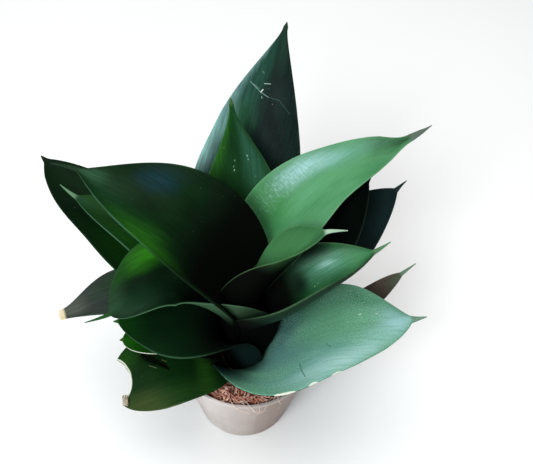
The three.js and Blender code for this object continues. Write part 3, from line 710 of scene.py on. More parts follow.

# %% The colours of each leaf
# inner, outer: deep and light colours of the two faces
# heart, back: shares of the length between which the inner and the outer face come out of the painted shade
# patches: a colour, its centre and reach as shares (across, along) and its strength, on the inner face;
# besides own tones they hold painted highlights and sheen, painted light shining through and painted shade
# both, deep: the same on both faces, under and over the painted shade of the heart; deep spots are painted
# shade in hollows and under other leaves
# scratches_and_shadows: a colour, the start and the end in millimetres from the midrib and along it, and a
# width; the wide near-black strokes are painted shadow in a tear
# margin, veins: a colour and a strength
# margin_from, tip_from: shares of the length between which the margin and the tip set in
# chips: the margin (left 1, right -1) that is split and dried between two shares, and how deep
# crinkle_shine: a centre, a reach and a strength of the painted highlight and shade on fine creases
# specks, powder: how much of each lies on the leaf
# tip: the colour of the spike
# gloss, shine: the roughness of the wax, and how strongly it reflects
SKINS = {
    "leaf_back_tall": dict(
        inner=("#060f0d", "#13231f"), outer=("#17332b", "#27493c"), heart=(0.45, 0.6), gloss=0.36,
        patches=(
            ("#2b5446", (0.6, 0.78), (0.62, 0.26), 0.95),
            ("#2f6238", (0.5, 0.69), (0.4, 0.1), 0.6),
            # The pale blue patch along the left edge is a painted sheen.
            ("#98cbc5", (1.12, 0.62), (0.5, 0.32), 1.0),
            ("#17382a", (-0.3, 0.97), (0.9, 0.12), 0.8),
        ),
        scratches_and_shadows=(
            ("#7c9c95", (12.7, 170), (4.4, 165.3), 0.38), ("#86a49d", (4.4, 165.3), (-1.5, 163.4), 0.34),
            ("#a9bfb4", (3.6, 170.9), (-0.4, 171.8), 0.4), ("#dfe8dc", (4.4, 165.3), (3.4, 167.2), 0.6),
            ("#6f918a", (10.3, 169.1), (6.1, 167.2), 0.3), ("#9fb3a6", (3.1, 162.8), (2.6, 162), 0.4),
            ("#33504c", (-1.5, 163.4), (-8.6, 163.4), 0.4), ("#2f4643", (-8.6, 163.4), (-17.8, 156.7), 0.5),
            ("#5f857c", (6.6, 178), (5.2, 176.9), 0.4),
        ),
        specks=0.7, powder=0.03, tip="#23352a", shine=0.02,
    ),
    "leaf_back_inner": dict(
        inner=("#0a2810", "#153a18"), outer=("#1c4a24", "#2c6234"), heart=(0.5, 0.66), gloss=0.36,
        patches=(
            # The teal patch on the right is a painted highlight.
            ("#2b5a45", (-0.55, 0.78), (0.5, 0.28), 0.8),
            ("#2c6420", (1.0, 0.85), (0.6, 0.24), 0.95),
            ("#123f10", (0.3, 0.96), (0.6, 0.08), 0.8),
        ),
        scratches_and_shadows=(
            ("#a3bfae", (-5.9, 127.6), (-6.0, 126.9), 0.5), ("#8fae9b", (-6.3, 125.3), (-6.5, 124.7), 0.4),
            ("#8fae9b", (2.0, 125.4), (2.1, 124.8), 0.4), ("#a3bfae", (2.8, 119.5), (3.0, 118.8), 0.5),
            ("#7c9c88", (3.0, 121.8), (3.2, 121.0), 0.35),
        ),
        specks=0.6, powder=0.03, tip="#3c5a30", shine=0.015, margin=("#3f6a48", 0.35),
    ),
    "leaf_left_inner": dict(
        inner=("#051808", "#0d2811"), outer=("#16361e", "#265030"), heart=(0.5, 0.7), gloss=0.36,
        # Painted light and shade: the bright green patches are light shining through, the bluish stripe is a
        # painted sheen, and the deep spot is painted shade.
        patches=(
            ("#154216", (0.75, 0.74), (0.6, 0.24), 0.85),
            ("#2b6a1a", (0.86, 0.7), (0.5, 0.15), 0.9),
            ("#153642", (-0.62, 0.765), (0.4, 0.09), 0.6),
            ("#183a24", (0.2, 0.9), (0.8, 0.12), 0.7),
            ("#2c5338", (-0.2, 0.97), (0.8, 0.08), 0.9),
        ),
        deep=(("#081a0a", (1.0, 0.48), (0.12, 0.22), 1.0),),
        specks=0.3, tip="#1d3020", shine=0.04, margin=("#42705a", 0.4), margin_from=(0.62, 0.85),
    ),
    "leaf_left_outer": dict(
        inner=("#08190b", "#0e2411"), outer=("#0c1f10", "#15301b"), heart=(0.3, 0.5), gloss=0.42,
        both=(("#12400c", (0.5, 0.58), (0.7, 0.2), 0.9),),
        specks=0.3, tip="#131f14", shine=0.04, margin=("#24402a", 0.35),
    ),
    "leaf_left_narrow": dict(
        inner=("#0d2c0e", "#173d15"), outer=("#12330f", "#1d4a1b"), heart=(0.4, 0.6), gloss=0.4,
        both=(("#1d4430", (0.1, 1.0), (0.9, 0.1), 0.9),),
        patches=(("#1a5211", (0.8, 0.7), (0.5, 0.16), 0.8),),
        margin=("#5a8470", 0.5), specks=0.4, tip="#5d8060", shine=0.05,
    ),
    "leaf_cut_tip": dict(
        inner=("#202824", "#37413b"), outer=("#1d2521", "#2f3833"), heart=(0.35, 0.66), gloss=0.42,
        both=(("#5a5f56", (-0.2, 0.93), (1.2, 0.1), 0.8),),
        patches=(
            ("#1d3a22", (-0.45, 0.74), (0.5, 0.12), 0.8),
            ("#1d4f1f", (-0.7, 0.64), (0.6, 0.1), 0.9),
        ),
        specks=0.3, tip="#d9caa6", tip_from=(0.966, 0.984), veins=("#4f574f", 0.5), shine=0.08,
    ),
    "leaf_left_front": dict(
        inner=("#061a0a", "#0d2714"), outer=("#3a5a40", "#4d7050"), heart=(0.42, 0.68), gloss=0.42,
        # Painted light: the bright green band is light shining through the blade, and the paler margin is
        # partly its own pale edge and partly a painted highlight where the edge is lit.
        patches=(
            ("#1a5012", (-1.0, 0.82), (0.5, 0.18), 0.9),
            ("#2f8210", (-0.74, 0.725), (0.4, 0.1), 0.95),
            ("#2a4a33", (-0.3, 0.97), (1.3, 0.1), 0.9),
            ("#27432f", (0.55, 0.88), (0.6, 0.16), 0.8),
            ("#12301c", (0.2, 0.84), (0.5, 0.12), 0.6),
        ),
        specks=0.25, tip="#1e4a1e", shine=0.05, margin=("#3f6446", 0.4),
    ),
    "leaf_left_lower": dict(
        inner=("#0a2010", "#0d2a12"), outer=("#12301a", "#1f4426"), heart=(0.3, 0.62), gloss=0.45,
        patches=(("#124410", (0.2, 0.95), (1.2, 0.14), 0.85),),
        deep=(("#152c2a", (0.8, 0.22), (0.7, 0.18), 0.6),),
        margin=("#3f6248", 0.4), specks=0.2, tip="#2f5b28", shine=0.04,
    ),
    "leaf_front_left": dict(
        inner=("#08240a", "#113110"), outer=("#1a3f18", "#2a5426"), heart=(0.05, 0.15), gloss=0.45,
        patches=(
            ("#3b4a25", (0.85, 0.82), (0.5, 0.34), 0.9),
            ("#1f4a12", (-0.7, 0.86), (0.5, 0.14), 0.8),
            ("#22421a", (0.7, 0.5), (0.4, 0.3), 0.6),
            ("#2c5a1c", (0.3, 0.31), (0.9, 0.09), 0.8),
            ("#0a1a0a", (-0.4, 0.66), (0.4, 0.12), 0.8),
        ),
        scratches_and_shadows=(
            # The three wide near-black strokes are painted shadow in the tear.
            ("#030803", (-12, 58), (-5, 53), 4.2), ("#040a04", (-8, 56), (-1, 48), 3.4),
            ("#030603", (-2, 50), (1.5, 46), 1.8), ("#8a9070", (-3.9, 56.6), (-0.7, 52.7), 0.22),
            ("#717b55", (-3.4, 46.5), (-5.4, 49), 0.22),
        ),
        margin=("#5c6b3a", 0.4), specks=0.3, tip="#6f7a58", shine=0.05,
    ),
    "leaf_low_bright": dict(
        inner=("#0b3507", "#114707"), outer=("#123f12", "#1f581c"), heart=(0.2, 0.6), gloss=0.45,
        patches=(("#175c08", (0.2, 0.95), (0.9, 0.16), 0.8),),
        margin=("#3f6a3a", 0.4), chips=((1, 0.55, 1.3, 0.01),), specks=0.2, tip="#47592a", shine=0.05,
    ),
    "leaf_front_right": dict(
        inner=("#41795a", "#5d9874"), outer=("#2a5a40", "#3f7454"), heart=(0.0, 0.22), gloss=0.46,
        # Painted light and shade: the palest bluish patches are painted sheen and highlights, and the dark
        # patches at the foot, with the deep spots, are painted shade in the hollow under other leaves.
        patches=(
            ("#6a9b97", (-0.65, 0.5), (0.6, 0.36), 0.85),
            ("#527e7e", (0.05, 0.3), (0.7, 0.2), 0.85),
            ("#2f5654", (0.5, 0.4), (0.4, 0.16), 0.8),
            ("#8fb8be", (-0.15, 0.93), (0.9, 0.14), 0.95),
            ("#7fb0a8", (-0.5, 0.8), (0.5, 0.14), 0.7),
            ("#2b6b42", (0.66, 0.74), (0.42, 0.12), 0.95),
            ("#a6cbc8", (-0.78, 0.58), (0.28, 0.3), 0.75),
            ("#5f9e76", (0.15, 0.64), (0.5, 0.24), 0.8),
            ("#1f4240", (-0.8, 0.1), (0.8, 0.13), 0.9),
        ),
        scratches_and_shadows=(
            ("#1f4a35", (-15.9, 47.3), (-22, 47.6), 0.5), ("#24503a", (-22, 47.6), (-28.8, 49.3), 0.45),
            ("#2c5a44", (-9.3, 65.6), (-13.2, 68.1), 0.5), ("#bcd6cb", (5.2, 89.4), (5.0, 88.4), 0.7),
            ("#b0cbc0", (4.1, 98.9), (4.1, 98.2), 0.5),
        ),
        chips=(
            (-1, 0.28, 0.39, 0.013), (-1, 0.41, 0.48, 0.009),
            (-1, 0.52, 0.62, 0.007), (-1, 0.82, 0.98, 0.007),
        ),
        deep=(
            ("#17383a", (0.42, 0.28), (0.4, 0.18), 0.95), ("#0d2725", (0.05, 0.12), (0.7, 0.11), 0.95),
            ("#0f2a26", (-0.95, 0.13), (0.6, 0.09), 0.95),
        ),
        margin=("#4f8068", 0.3), specks=1.2, tip="#54745c", powder=0.65, shine=0.2,
    ),
    "leaf_right_inner": dict(
        # Painted light and shade: the outer face is painted dark as shade, the palest patch is a painted
        # highlight, and the darkest patches are painted shade under the heart leaf.
        inner=("#15401f", "#255a33"), outer=("#06190a", "#0c2811"), heart=(0.53, 0.71), gloss=0.36,
        patches=(
            ("#5f9680", (0.3, 0.8), (0.5, 0.2), 0.85),
            ("#a3cdc6", (0.34, 0.78), (0.14, 0.07), 0.5),
            ("#427c50", (0.1, 0.92), (1.0, 0.12), 0.9),
            ("#2a6038", (-0.3, 0.72), (0.6, 0.1), 0.8),
            ("#0a2018", (0.85, 0.76), (0.3, 0.08), 0.8),
        ),
        scratches_and_shadows=(
            ("#93b795", (-27.1, 66.6), (-27.1, 65.8), 0.5), ("#a3c4a6", (-2.1, 86.9), (-2.1, 86.4), 0.4),
            ("#7da587", (-1.2, 89.4), (-1.6, 88.6), 0.35),
            ("#3f6a42", (23, 96.2), (18.7, 78.8), 0.5), ("#28482b", (18.7, 78.8), (14.8, 53.8), 0.45),
        ),
        deep=(("#030d08", (0.88, 0.7), (0.45, 0.13), 0.95), ("#04120a", (0.2, 0.62), (0.45, 0.06), 0.9)),
        margin=("#4a7048", 0.35), specks=0.9, powder=0.06, tip="#4f7550", shine=0.08, back=(0.4, 0.52),
    ),
    "leaf_heart": dict(
        inner=("#2f6238", "#42784a"), outer=("#1c3a1c", "#305030"), heart=(0.5, 0.7), gloss=0.42,
        patches=(
            ("#42774a", (0.6, 0.8), (0.6, 0.2), 0.8),
            ("#2d5a3a", (-0.3, 0.98), (0.9, 0.08), 0.8),
        ),
        margin=("#5f8a58", 0.35), specks=0.25, tip="#9ab49c", shine=0.06, back=(0.66, 0.84),
    ),
    "leaf_right_upper": dict(
        inner=("#3f7c4e", "#538f62"), outer=("#2a6236", "#43804c"), heart=(0.3, 0.46), gloss=0.36,
        patches=(
            ("#5f9780", (0.55, 0.77), (0.5, 0.22), 0.85),
            # The pale patch is a painted highlight; the creases inside it get painted light and shade.
            ("#92bfbd", (0.62, 0.67), (0.38, 0.14), 0.95),
            ("#327936", (0.5, 0.54), (0.7, 0.07), 0.85),
            ("#2d6a38", (0.3, 0.47), (1.0, 0.07), 0.9),
            ("#60a073", (0.0, 0.62), (0.3, 0.12), 0.6),
            ("#103c18", (0.3, 0.97), (1.4, 0.14), 0.95),
        ),
        crinkle_shine=((0.6, 0.62), (0.38, 0.15), 0.4),
        specks=0.7, powder=0.08, tip="#4f5f52", shine=0.1, margin=("#7fae86", 0.3),
    ),
    "leaf_right_dark": dict(
        inner=("#030705", "#060b08"), outer=("#0a120e", "#121c16"), heart=(0.3, 0.5), gloss=0.5,
        specks=0.1, tip="#0d160e", margin=("#16261a", 0.5), shine=0.03,
    ),
    "leaf_right_outer": dict(
        inner=("#0b1817", "#132322"), outer=("#101f20", "#1a2b2b"), heart=(0.3, 0.5), gloss=0.42,
        both=(("#142628", (-0.6, 0.9), (0.5, 0.15), 0.6),),
        specks=0.3, tip="#1d2a26", shine=0.05,
    ),
    "leaf_right_small": dict(
        inner=("#3b342e", "#50473f"), outer=("#3b342e", "#50473f"), heart=(0.3, 0.6), gloss=0.42,
        both=(("#3f5a42", (-0.3, 1.02), (1.3, 0.16), 0.8),),
        specks=0.4, tip="#5d7a60", shine=0.08, margin=("#7a7068", 0.3),
    ),
}
print("skins:", len(SKINS))

# %% The layers of a skin
PAINTED_HEART_SHADE, DRY_MARGIN, SPECK = "#020402", "#d9dccb", "#8fa898"
DUST_GAP, DUST_GRAIN = "#24483c", "#86b3a8"
CREASE_LIGHT_AND_SHADE = (("#b4d9d8", 0.46, 0.7), ("#4c8a66", 0.52, 0.32))
PLAIN_MARGIN, PLAIN_BACK, PLAIN_TIP = ("#2f5230", 0.15), (0.3, 0.5), (0.985, 1.01)
RAGGED, CHIP_REACH, BITE_UNEVEN, RELIEF = 0.9, 7, 0.0016, 0.0003
GRAIN_STEPS = (0.31, 0.17)


def leaf_maps(tree, number):
    """What every layer is built from: the leaf's own coordinates and its grain."""
    maps = [put(tree, "ShaderNodeUVMap", uv_map=label).outputs["UV"] for label in ("share", "size", "side")]
    share, size, side = maps
    across, along, _ = put(tree, "ShaderNodeSeparateXYZ", {0: share}).outputs
    inside = put(tree, "ShaderNodeSeparateXYZ", {0: side}).outputs["X"]
    seed = (number * GRAIN_STEPS[0], number * GRAIN_STEPS[1], 0)
    grain = place_group(tree, leaf_grain, {"Size": size, "Seed": seed})
    return SimpleNamespace(share=share, size=size, across=across, along=along, inside=inside, grain=grain)


def spot(tree, at, centre, reach, strength):
    """A soft, ragged spot. Its centre and reach are shares of the leaf's width and length."""
    values = {"Share": at.share, "Centre": (*centre, 0), "Reach": (*reach, 1)}
    values.update({"Clouds": at.grain["Clouds"], "Ragged": RAGGED})
    return times(tree, place_group(tree, soft_patch, values)["Mask"], strength)


def flesh(tree, at, looks):
    """The cloudy green of both faces, with patches of own tone, painted light and painted shade."""
    mixed = plus(tree, times(tree, at.grain["Streaks"], 0.4), times(tree, at.grain["Clouds"], 0.8))
    mixed = ramp(tree, mixed, 0.35, 0.85)
    faces = [blend(tree, mixed, *map(paint, looks[face])) for face in ("outer", "inner")]
    colour = blend(tree, at.inside, *faces)
    patches = [(1.0, patch) for patch in looks.get("both", ())]
    patches += [(at.inside, patch) for patch in looks.get("patches", ())]
    for face, (code, centre, reach, strength) in patches:
        mask = times(tree, spot(tree, at, centre, reach, strength), face)
        mask = times(tree, mask, ramp(tree, at.grain["Streaks"], 0.35, 0.62, 0.6, 1.0))
        colour = blend(tree, mask, colour, paint(code))
    return colour


def light(tree, at, looks):
    """How far each place lies out of the painted shade of the heart: 0 in it and 1 out of it."""
    inner = times(tree, ramp(tree, at.along, *looks["heart"]), at.inside)
    outer = ramp(tree, at.along, *looks.get("back", PLAIN_BACK))
    return plus(tree, inner, times(tree, outer, calc(tree, "SUBTRACT", 1.0, at.inside)))


def margins(tree, at, looks, colour):
    """The paler margin, and the chips where it is split and dry."""
    code, strength = looks.get("margin", PLAIN_MARGIN)
    edge = ramp(tree, calc(tree, "ABSOLUTE", at.across), 0.972, 0.992)
    edge = times(tree, edge, ramp(tree, at.along, *looks.get("margin_from", (0.35, 0.6))))
    edge = times(tree, edge, ramp(tree, at.grain["Clouds"], 0.3, 0.6, 0.4 * strength, strength))
    colour = blend(tree, edge, colour, paint(code))
    for hand, start, end, depth in looks.get("chips", ()):
        middle = (start + end) / 2
        slim = times(tree, ramp(tree, at.along, start, middle), ramp(tree, at.along, middle, end, 1, 0))
        reach = times(tree, times(tree, at.grain["Powder"], slim), CHIP_REACH * depth)
        outwards = plus(tree, times(tree, at.across, float(hand)), reach)
        colour = blend(tree, calc(tree, "GREATER_THAN", outwards, 1.0 + depth), colour, paint(DRY_MARGIN))
    return colour


def wounds(tree, at, looks, bites, colour):
    """Veins, scratch marks, painted shadow in a tear and the dried edge round a bite."""
    if "veins" in looks:
        code, strength = looks["veins"]
        vein = times(tree, ramp(tree, at.grain["Lines"], 0.5, 0.68), strength)
        colour = blend(tree, times(tree, vein, at.lit), colour, paint(code))
    for code, start, end, width in looks.get("scratches_and_shadows", ()):
        line = {"Size": at.size, "Width": width * MM, "Grain": at.grain["Powder"]}
        line.update({"Start": (start[0] * MM, start[1] * MM, 0), "End": (end[0] * MM, end[1] * MM, 0)})
        mask = times(tree, place_group(tree, fine_line, line)["Mask"], at.inside)
        colour = blend(tree, mask, colour, paint(code))
    for x, y, radius in bites:
        level = vectors(tree, "MULTIPLY", own_place(tree), (1, 1, 0))
        gap = vectors(tree, "DISTANCE", level, (x * MM, y * MM, 0))
        gap = plus(tree, gap, times(tree, at.grain["Clouds"], -BITE_UNEVEN))
        dried = ramp(tree, gap, (radius - 0.4) * MM, (radius + 0.3) * MM, 1, 0)
        torn_face = ramp(tree, at.along, CUT_SHARE - 0.5, CUT_SHARE - 0.4, 1, 0.3)
        colour = blend(tree, times(tree, dried, torn_face), colour, paint(DRY_MARGIN))
    return colour


def top_layer(tree, at, looks, colour):
    """The tip's own colour, specks, painted highlight and shade on the creases in the shine, and powder."""
    tip = ramp(tree, at.along, *looks.get("tip_from", PLAIN_TIP))
    colour = blend(tree, tip, colour, paint(looks["tip"]))
    specks = times(tree, at.grain["Specks"], times(tree, at.lit, 0.7 * looks["specks"]))
    colour = blend(tree, specks, colour, paint(SPECK))
    if "crinkle_shine" in looks:
        crinkle_shine_mask = spot(tree, at, *looks["crinkle_shine"])
        # Painted highlight and shade: pale creases and darker green between them, inside the painted shine.
        for code, start, end in CREASE_LIGHT_AND_SHADE:
            painted_crease = times(tree, ramp(tree, at.grain["Crinkles"], start, end), crinkle_shine_mask)
            colour = blend(tree, painted_crease, colour, paint(code))
    if "powder" in looks:
        dusted = times(tree, ramp(tree, at.along, 0.08, 0.25), looks["powder"])
        dusted = times(tree, times(tree, dusted, at.lit), ramp(tree, at.grain["Clouds"], 0.35, 0.6, 0.5, 1))
        grains = times(tree, ramp(tree, at.grain["Powder"], 0.48, 0.62), dusted)
        gaps = times(tree, ramp(tree, at.grain["Powder"], 0.36, 0.48, 1, 0), dusted)
        colour = blend(tree, times(tree, gaps, 0.5), colour, paint(DUST_GAP))
        colour = blend(tree, grains, colour, paint(DUST_GRAIN))
    return colour


print("layers are ready")

# %% Put the skins together
def leaf_skin(name, number):
    """The material of one leaf, from its deepest layer to its top one."""
    looks = SKINS[name]
    finish, tree, skin = material(name + " skin")
    at = leaf_maps(tree, number)
    at.lit = light(tree, at, looks)
    # Painted shade: the skin turns near-black down in the heart of the rosette.
    colour = blend(tree, at.lit, paint(PAINTED_HEART_SHADE), flesh(tree, at, looks))
    # Painted shade in hollows and under other leaves, laid over the heart's painted shade.
    for code, centre, reach, strength in looks.get("deep", ()):
        colour = blend(tree, spot(tree, at, centre, reach, strength), colour, paint(code))
    colour = margins(tree, at, looks, colour)
    colour = wounds(tree, at, looks, LEAVES[name].get("bites", ()), colour)
    colour = top_layer(tree, at, looks, colour)
    rough = ramp(tree, at.grain["Streaks"], 0.2, 0.8, looks["gloss"] - 0.03, looks["gloss"] + 0.05)
    rough = plus(tree, rough, ramp(tree, at.lit, 0, 1, 0.4, 0))
    coloured(tree, skin, colour, rough, looks["shine"])
    relief = plus(tree, times(tree, at.grain["Lines"], 0.35), times(tree, at.grain["Streaks"], 0.65))
    bumped(tree, skin, relief, 0.25, RELIEF)
    return finish


def finish_piece(piece, finish, sharp):
    """Gives a piece its material, sharp edges from an angle in degrees, and its place in the frame."""
    piece.data.materials.clear()
    piece.data.materials.append(finish)
    piece.data.shade_smooth()
    piece.data.set_sharp_from_angle(angle=math.radians(sharp))
    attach(piece, "root")


for number, (name, piece) in enumerate(leaves.items()):
    finish_piece(piece, leaf_skin(name, number), 50)
    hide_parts(name)
print("skins are on all", len(leaves), "leaves")

# %% [markdown]
# ## The pot
# The real pot is a thin nursery pot, blown from pale grey plastic. It has a narrow lip, a rounded foot and
# drain holes, and its wall was pressed in softly between broad upright facets. A cylinder with a Solidify
# modifier would do for the wall, but a turned profile gives the lip, the foot and the facets in one go.
# The drain holes are drilled with a Boolean modifier.

# %% A turned, closed shape
def turned_mesh(name, profile, sides, shaped=lambda angle, radius, height: (radius, height)):
    """Turns a profile of (radius, height) in millimetres round Z. Both ends lie on the axis."""
    angles = 2 * np.pi * np.arange(sides) / sides
    points = [(0, 0, profile[0][1])]
    for radius, height in profile[1:-1]:
        for angle in angles:
            r, z = shaped(angle, radius, height)
            points.append((r * math.cos(angle), r * math.sin(angle), z))
    points.append((0, 0, profile[-1][1]))
    last, rows = len(points) - 1, len(profile) - 2
    faces = []
    for k in range(sides):
        n = (k + 1) % sides
        faces.append((0, 1 + n, 1 + k))
        for row in range(rows - 1):
            a, b = 1 + row * sides, 1 + (row + 1) * sides
            faces.append((a + k, a + n, b + n, b + k))
        faces.append((1 + (rows - 1) * sides + k, 1 + (rows - 1) * sides + n, last))
    return mesh_of(name, points, faces)


print("turned shapes are ready")

# %% The pot's form
POT_HEIGHT, POT_BASE, POT_RIM, POT_WALL, POT_FLOOR = 72, 31.5, 45, 1.4, 1.8
LIP_HEIGHT, LIP_STEP = 3, 0.6
FACETS, FACET_DEPTH, FACET_TURN = 15, 0.9, 0.07
FACETS_FROM, FACETS_TO = 4, POT_HEIGHT - LIP_HEIGHT - 1
FADE_IN, FADE_OUT = 8, 5
DRAINS, DRAIN_RADIUS, DRAIN_RING = 6, 2.5, 21
flare = (POT_RIM - LIP_STEP - POT_BASE) / POT_HEIGHT


def outside(z):
    """The radius of the outer wall at a height."""
    return POT_BASE + flare * z


def inside_wall(z):
    """The radius of the inner wall at a height."""
    return outside(z) - POT_WALL


def faceted(angle, radius, height):
    """Presses the outer wall in between the facets' corners, and leaves the lip and foot round."""
    if radius < outside(height) - 0.05 or not FACETS_FROM < height < FACETS_TO:
        return radius, height
    part = 2 * math.pi / FACETS
    off = (angle + FACET_TURN) % part - part / 2
    flat = math.cos(part / 2) / math.cos(off)
    fade = min(1, (height - FACETS_FROM) / FADE_IN, (FACETS_TO - height) / FADE_OUT)
    return radius * (1 - (1 - flat) * FACET_DEPTH * fade), height


lip_foot = POT_HEIGHT - LIP_HEIGHT
profile = [(0, 0), (POT_BASE - 1.6, 0), (POT_BASE - 0.7, 0.15), (POT_BASE - 0.1, 0.6), (outside(1.4), 1.4)]
profile += [(outside(z), z) for z in (4, 8, 12, 20, 30, 40, 50, 58, 63, 66, lip_foot)]
profile += [(outside(lip_foot) + 0.3, lip_foot + 0.15), (outside(lip_foot) + LIP_STEP, lip_foot + 0.7)]
profile += [(POT_RIM, POT_HEIGHT - 0.6), (POT_RIM - 0.15, POT_HEIGHT - 0.15), (POT_RIM - 0.5, POT_HEIGHT)]
profile += [(inside_wall(POT_HEIGHT) + 0.5, POT_HEIGHT), (inside_wall(POT_HEIGHT) + 0.1, POT_HEIGHT - 0.2)]
profile += [(inside_wall(POT_HEIGHT - 1), POT_HEIGHT - 1)]
profile += [(inside_wall(z), z) for z in (66, 50, 30, 10, 3)]
profile += [(inside_wall(2) - 0.6, POT_FLOOR), (0, POT_FLOOR)]
pot = new_piece("pot_shell", turned_mesh("pot_shell", profile, 180, faceted))
drill_profile = [(0, -2), (DRAIN_RADIUS, -2), (DRAIN_RADIUS, 5), (0, 5)]
drills = []
for k in range(DRAINS):
    angle = 2 * math.pi * (k + 0.5) / DRAINS
    drill = new_piece("drill", turned_mesh("drill", drill_profile, 24))
    centre = Vector((DRAIN_RING * math.cos(angle), DRAIN_RING * math.sin(angle), 0)) * MM
    drill.data.transform(Matrix.Translation(centre))
    drills.append(drill)
    cut_away(pot, drill, "drain hole")
swap_mesh(pot, evaluated_mesh(pot))
discard(drills)
print("pot:", len(pot.data.polygons), "faces,", round(volume(pot.data)), "cubic millimetres")

# %% Pale grey plastic
# Painted shade makes the right front of the pot darker and browner.
wear, given, wanted = group(
    "dust and scuffs", [("Place", VECTOR), ("Amount", FLOAT)], [("Dust", FLOAT), ("Scuffs", FLOAT)]
)
clouds = noise(wear, given["Place"], 45, 4, 0.6)
grit = noise(wear, given["Place"], 900, 2, 0.7)
dust = times(wear, ramp(wear, clouds, 0.45, 0.75), ramp(wear, grit, 0.4, 0.7))
wear.links.new(times(wear, dust, given["Amount"]), wanted["Dust"])
thin = noise(wear, stretched(wear, given["Place"], (1, 1, 0.12)), 420, 3, 0.6, 0.4)
wear.links.new(times(wear, ramp(wear, thin, 0.62, 0.72), given["Amount"]), wanted["Scuffs"])

plastic, tree, skin = material("pale grey plastic")
place = own_place(tree)
x, y, z = put(tree, "ShaderNodeSeparateXYZ", {0: place}).outputs
marks = place_group(tree, wear, {"Place": place, "Amount": 0.8})
broad = noise(tree, stretched(tree, place, (1, 1, 0.35)), 38, 3, 0.5)
colour = blend(tree, ramp(tree, broad, 0.3, 0.7), paint("#bdb2ad"), paint("#d6cdc9"))
# Painted shade: darker and browner towards the right front of the pot.
shaded = ramp(tree, plus(tree, x, times(tree, broad, 0.02)), -0.006, 0.036)
shaded = times(tree, shaded, ramp(tree, y, -0.012, 0.02, 0.88, 0.2))
colour = blend(tree, shaded, colour, paint("#7f6558"))
rim = ramp(tree, z, (lip_foot - 0.2) * MM, (lip_foot + 0.4) * MM)
colour = blend(tree, times(tree, rim, 0.45), colour, paint("#d9d2cf"))
colour = blend(tree, marks["Dust"], colour, paint("#a58d80"))
colour = blend(tree, times(tree, marks["Scuffs"], 0.15), colour, paint("#e2dcd8"))
rough = plus(tree, 0.4, times(tree, marks["Dust"], 0.3))
coloured(tree, skin, colour, plus(tree, rough, times(tree, broad, 0.12)), 0.35)
relief = plus(tree, broad, times(tree, marks["Scuffs"], -0.3))
bumped(tree, skin, relief, 0.25, 0.0006)
finish_piece(pot, plastic, 15)
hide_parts("pot")
print("the pot is finished")

# %% [markdown]
# ## The coir in the pot
# The plant grows in coir: coconut husk in short, flat, curled shreds, pinkish tan where they are dry and
# deep red brown in the gaps. It is heaped towards the wall. A bump map would look flat at the rim, and a
# particle system wouldn't reach the export, so Geometry Nodes scatter real shreds on a turned bed of
# coir dust: three bent shreds, picked, turned and sized at random from one seed.

# %% The bed of coir dust
CROWN_RADIUS = 24.5
HEAP_FROM, HEAP_REACH, HEAP_RISE, TOP_RINGS = 27, 12, 2.2, 22
LITTER_FROM, LITTER_TO = 0.027, 0.0405
soil_foot = POT_FLOOR + GAP
soil_edge = inside_wall(SOIL_TOP) - GAP
crown_floor = SOIL_TOP - HEEL - GAP - 5 - GAP


def heaped(angle, radius, height):
    """Lumps on the top of the bed, which is heaped towards the wall."""
    if height < SOIL_TOP - 0.1:
        return radius, height
    px, py = radius * math.cos(angle), radius * math.sin(angle)
    lumps = math.sin(0.31 * px + 1.1) * math.cos(0.27 * py - 0.4) + 0.7 * math.sin(0.52 * py - 0.41 * px)
    fine = math.sin(1.9 * px + 0.6 * py) * math.cos(1.7 * py - 0.5 * px)
    return radius, height + 0.5 * lumps + 0.25 * fine


radii = np.linspace(soil_edge, CROWN_RADIUS + GAP, TOP_RINGS)
top_rings = [(r, SOIL_TOP + HEAP_RISE * float(smoothstep((r - HEAP_FROM) / HEAP_REACH))) for r in radii]
soil_profile = [(0, soil_foot), (inside_wall(soil_foot) - GAP, soil_foot), (soil_edge - 1, SOIL_TOP - 5.5)]
soil_profile += top_rings + [(CROWN_RADIUS + GAP, crown_floor), (0, crown_floor)]
soil = new_piece("coir_bed", turned_mesh("coir_bed", soil_profile, 144, heaped))
print("bed:", len(soil.data.polygons), "faces,", round(volume(soil.data)), "cubic millimetres")

bed = bmesh.new()
bed.from_mesh(soil.data)
hidden = []
for face in bed.faces:
    if face.normal.z < 0.5 or not LITTER_FROM < face.calc_center_median().xy.length < LITTER_TO:
        hidden.append(face)
bmesh.ops.delete(bed, geom=hidden, context="FACES")
litter = new_piece("coir_shreds", bpy.data.meshes.new("coir_shreds"))
bed.to_mesh(litter.data)
bed.free()
print("the shreds fall on", len(litter.data.polygons), "faces")

# %% Shreds by Geometry Nodes
scatter = bpy.data.node_groups.new("coir litter", "GeometryNodeTree")
sockets = [
    ("Bed", "NodeSocketGeometry", None), ("Shreds per Square Metre", "NodeSocketFloat", 420000.0),
    ("Length", "NodeSocketFloat", 0.0095), ("Width", "NodeSocketFloat", 0.0006),
    ("Thickness", "NodeSocketFloat", 0.0003), ("Curl", "NodeSocketFloat", 0.22),
    ("Heap", "NodeSocketFloat", 0.0032), ("Seed", "NodeSocketInt", 7), ("Finish", "NodeSocketMaterial", None),
]
identifiers = {}
for label, kind, value in sockets:
    socket = scatter.interface.new_socket(name=label, in_out="INPUT", socket_type=kind)
    identifiers[label] = (socket.identifier, value)
scatter.interface.new_socket(name="Coir", in_out="OUTPUT", socket_type="NodeSocketGeometry")
given = put(scatter, "NodeGroupInput").outputs
wanted = put(scatter, "NodeGroupOutput").inputs

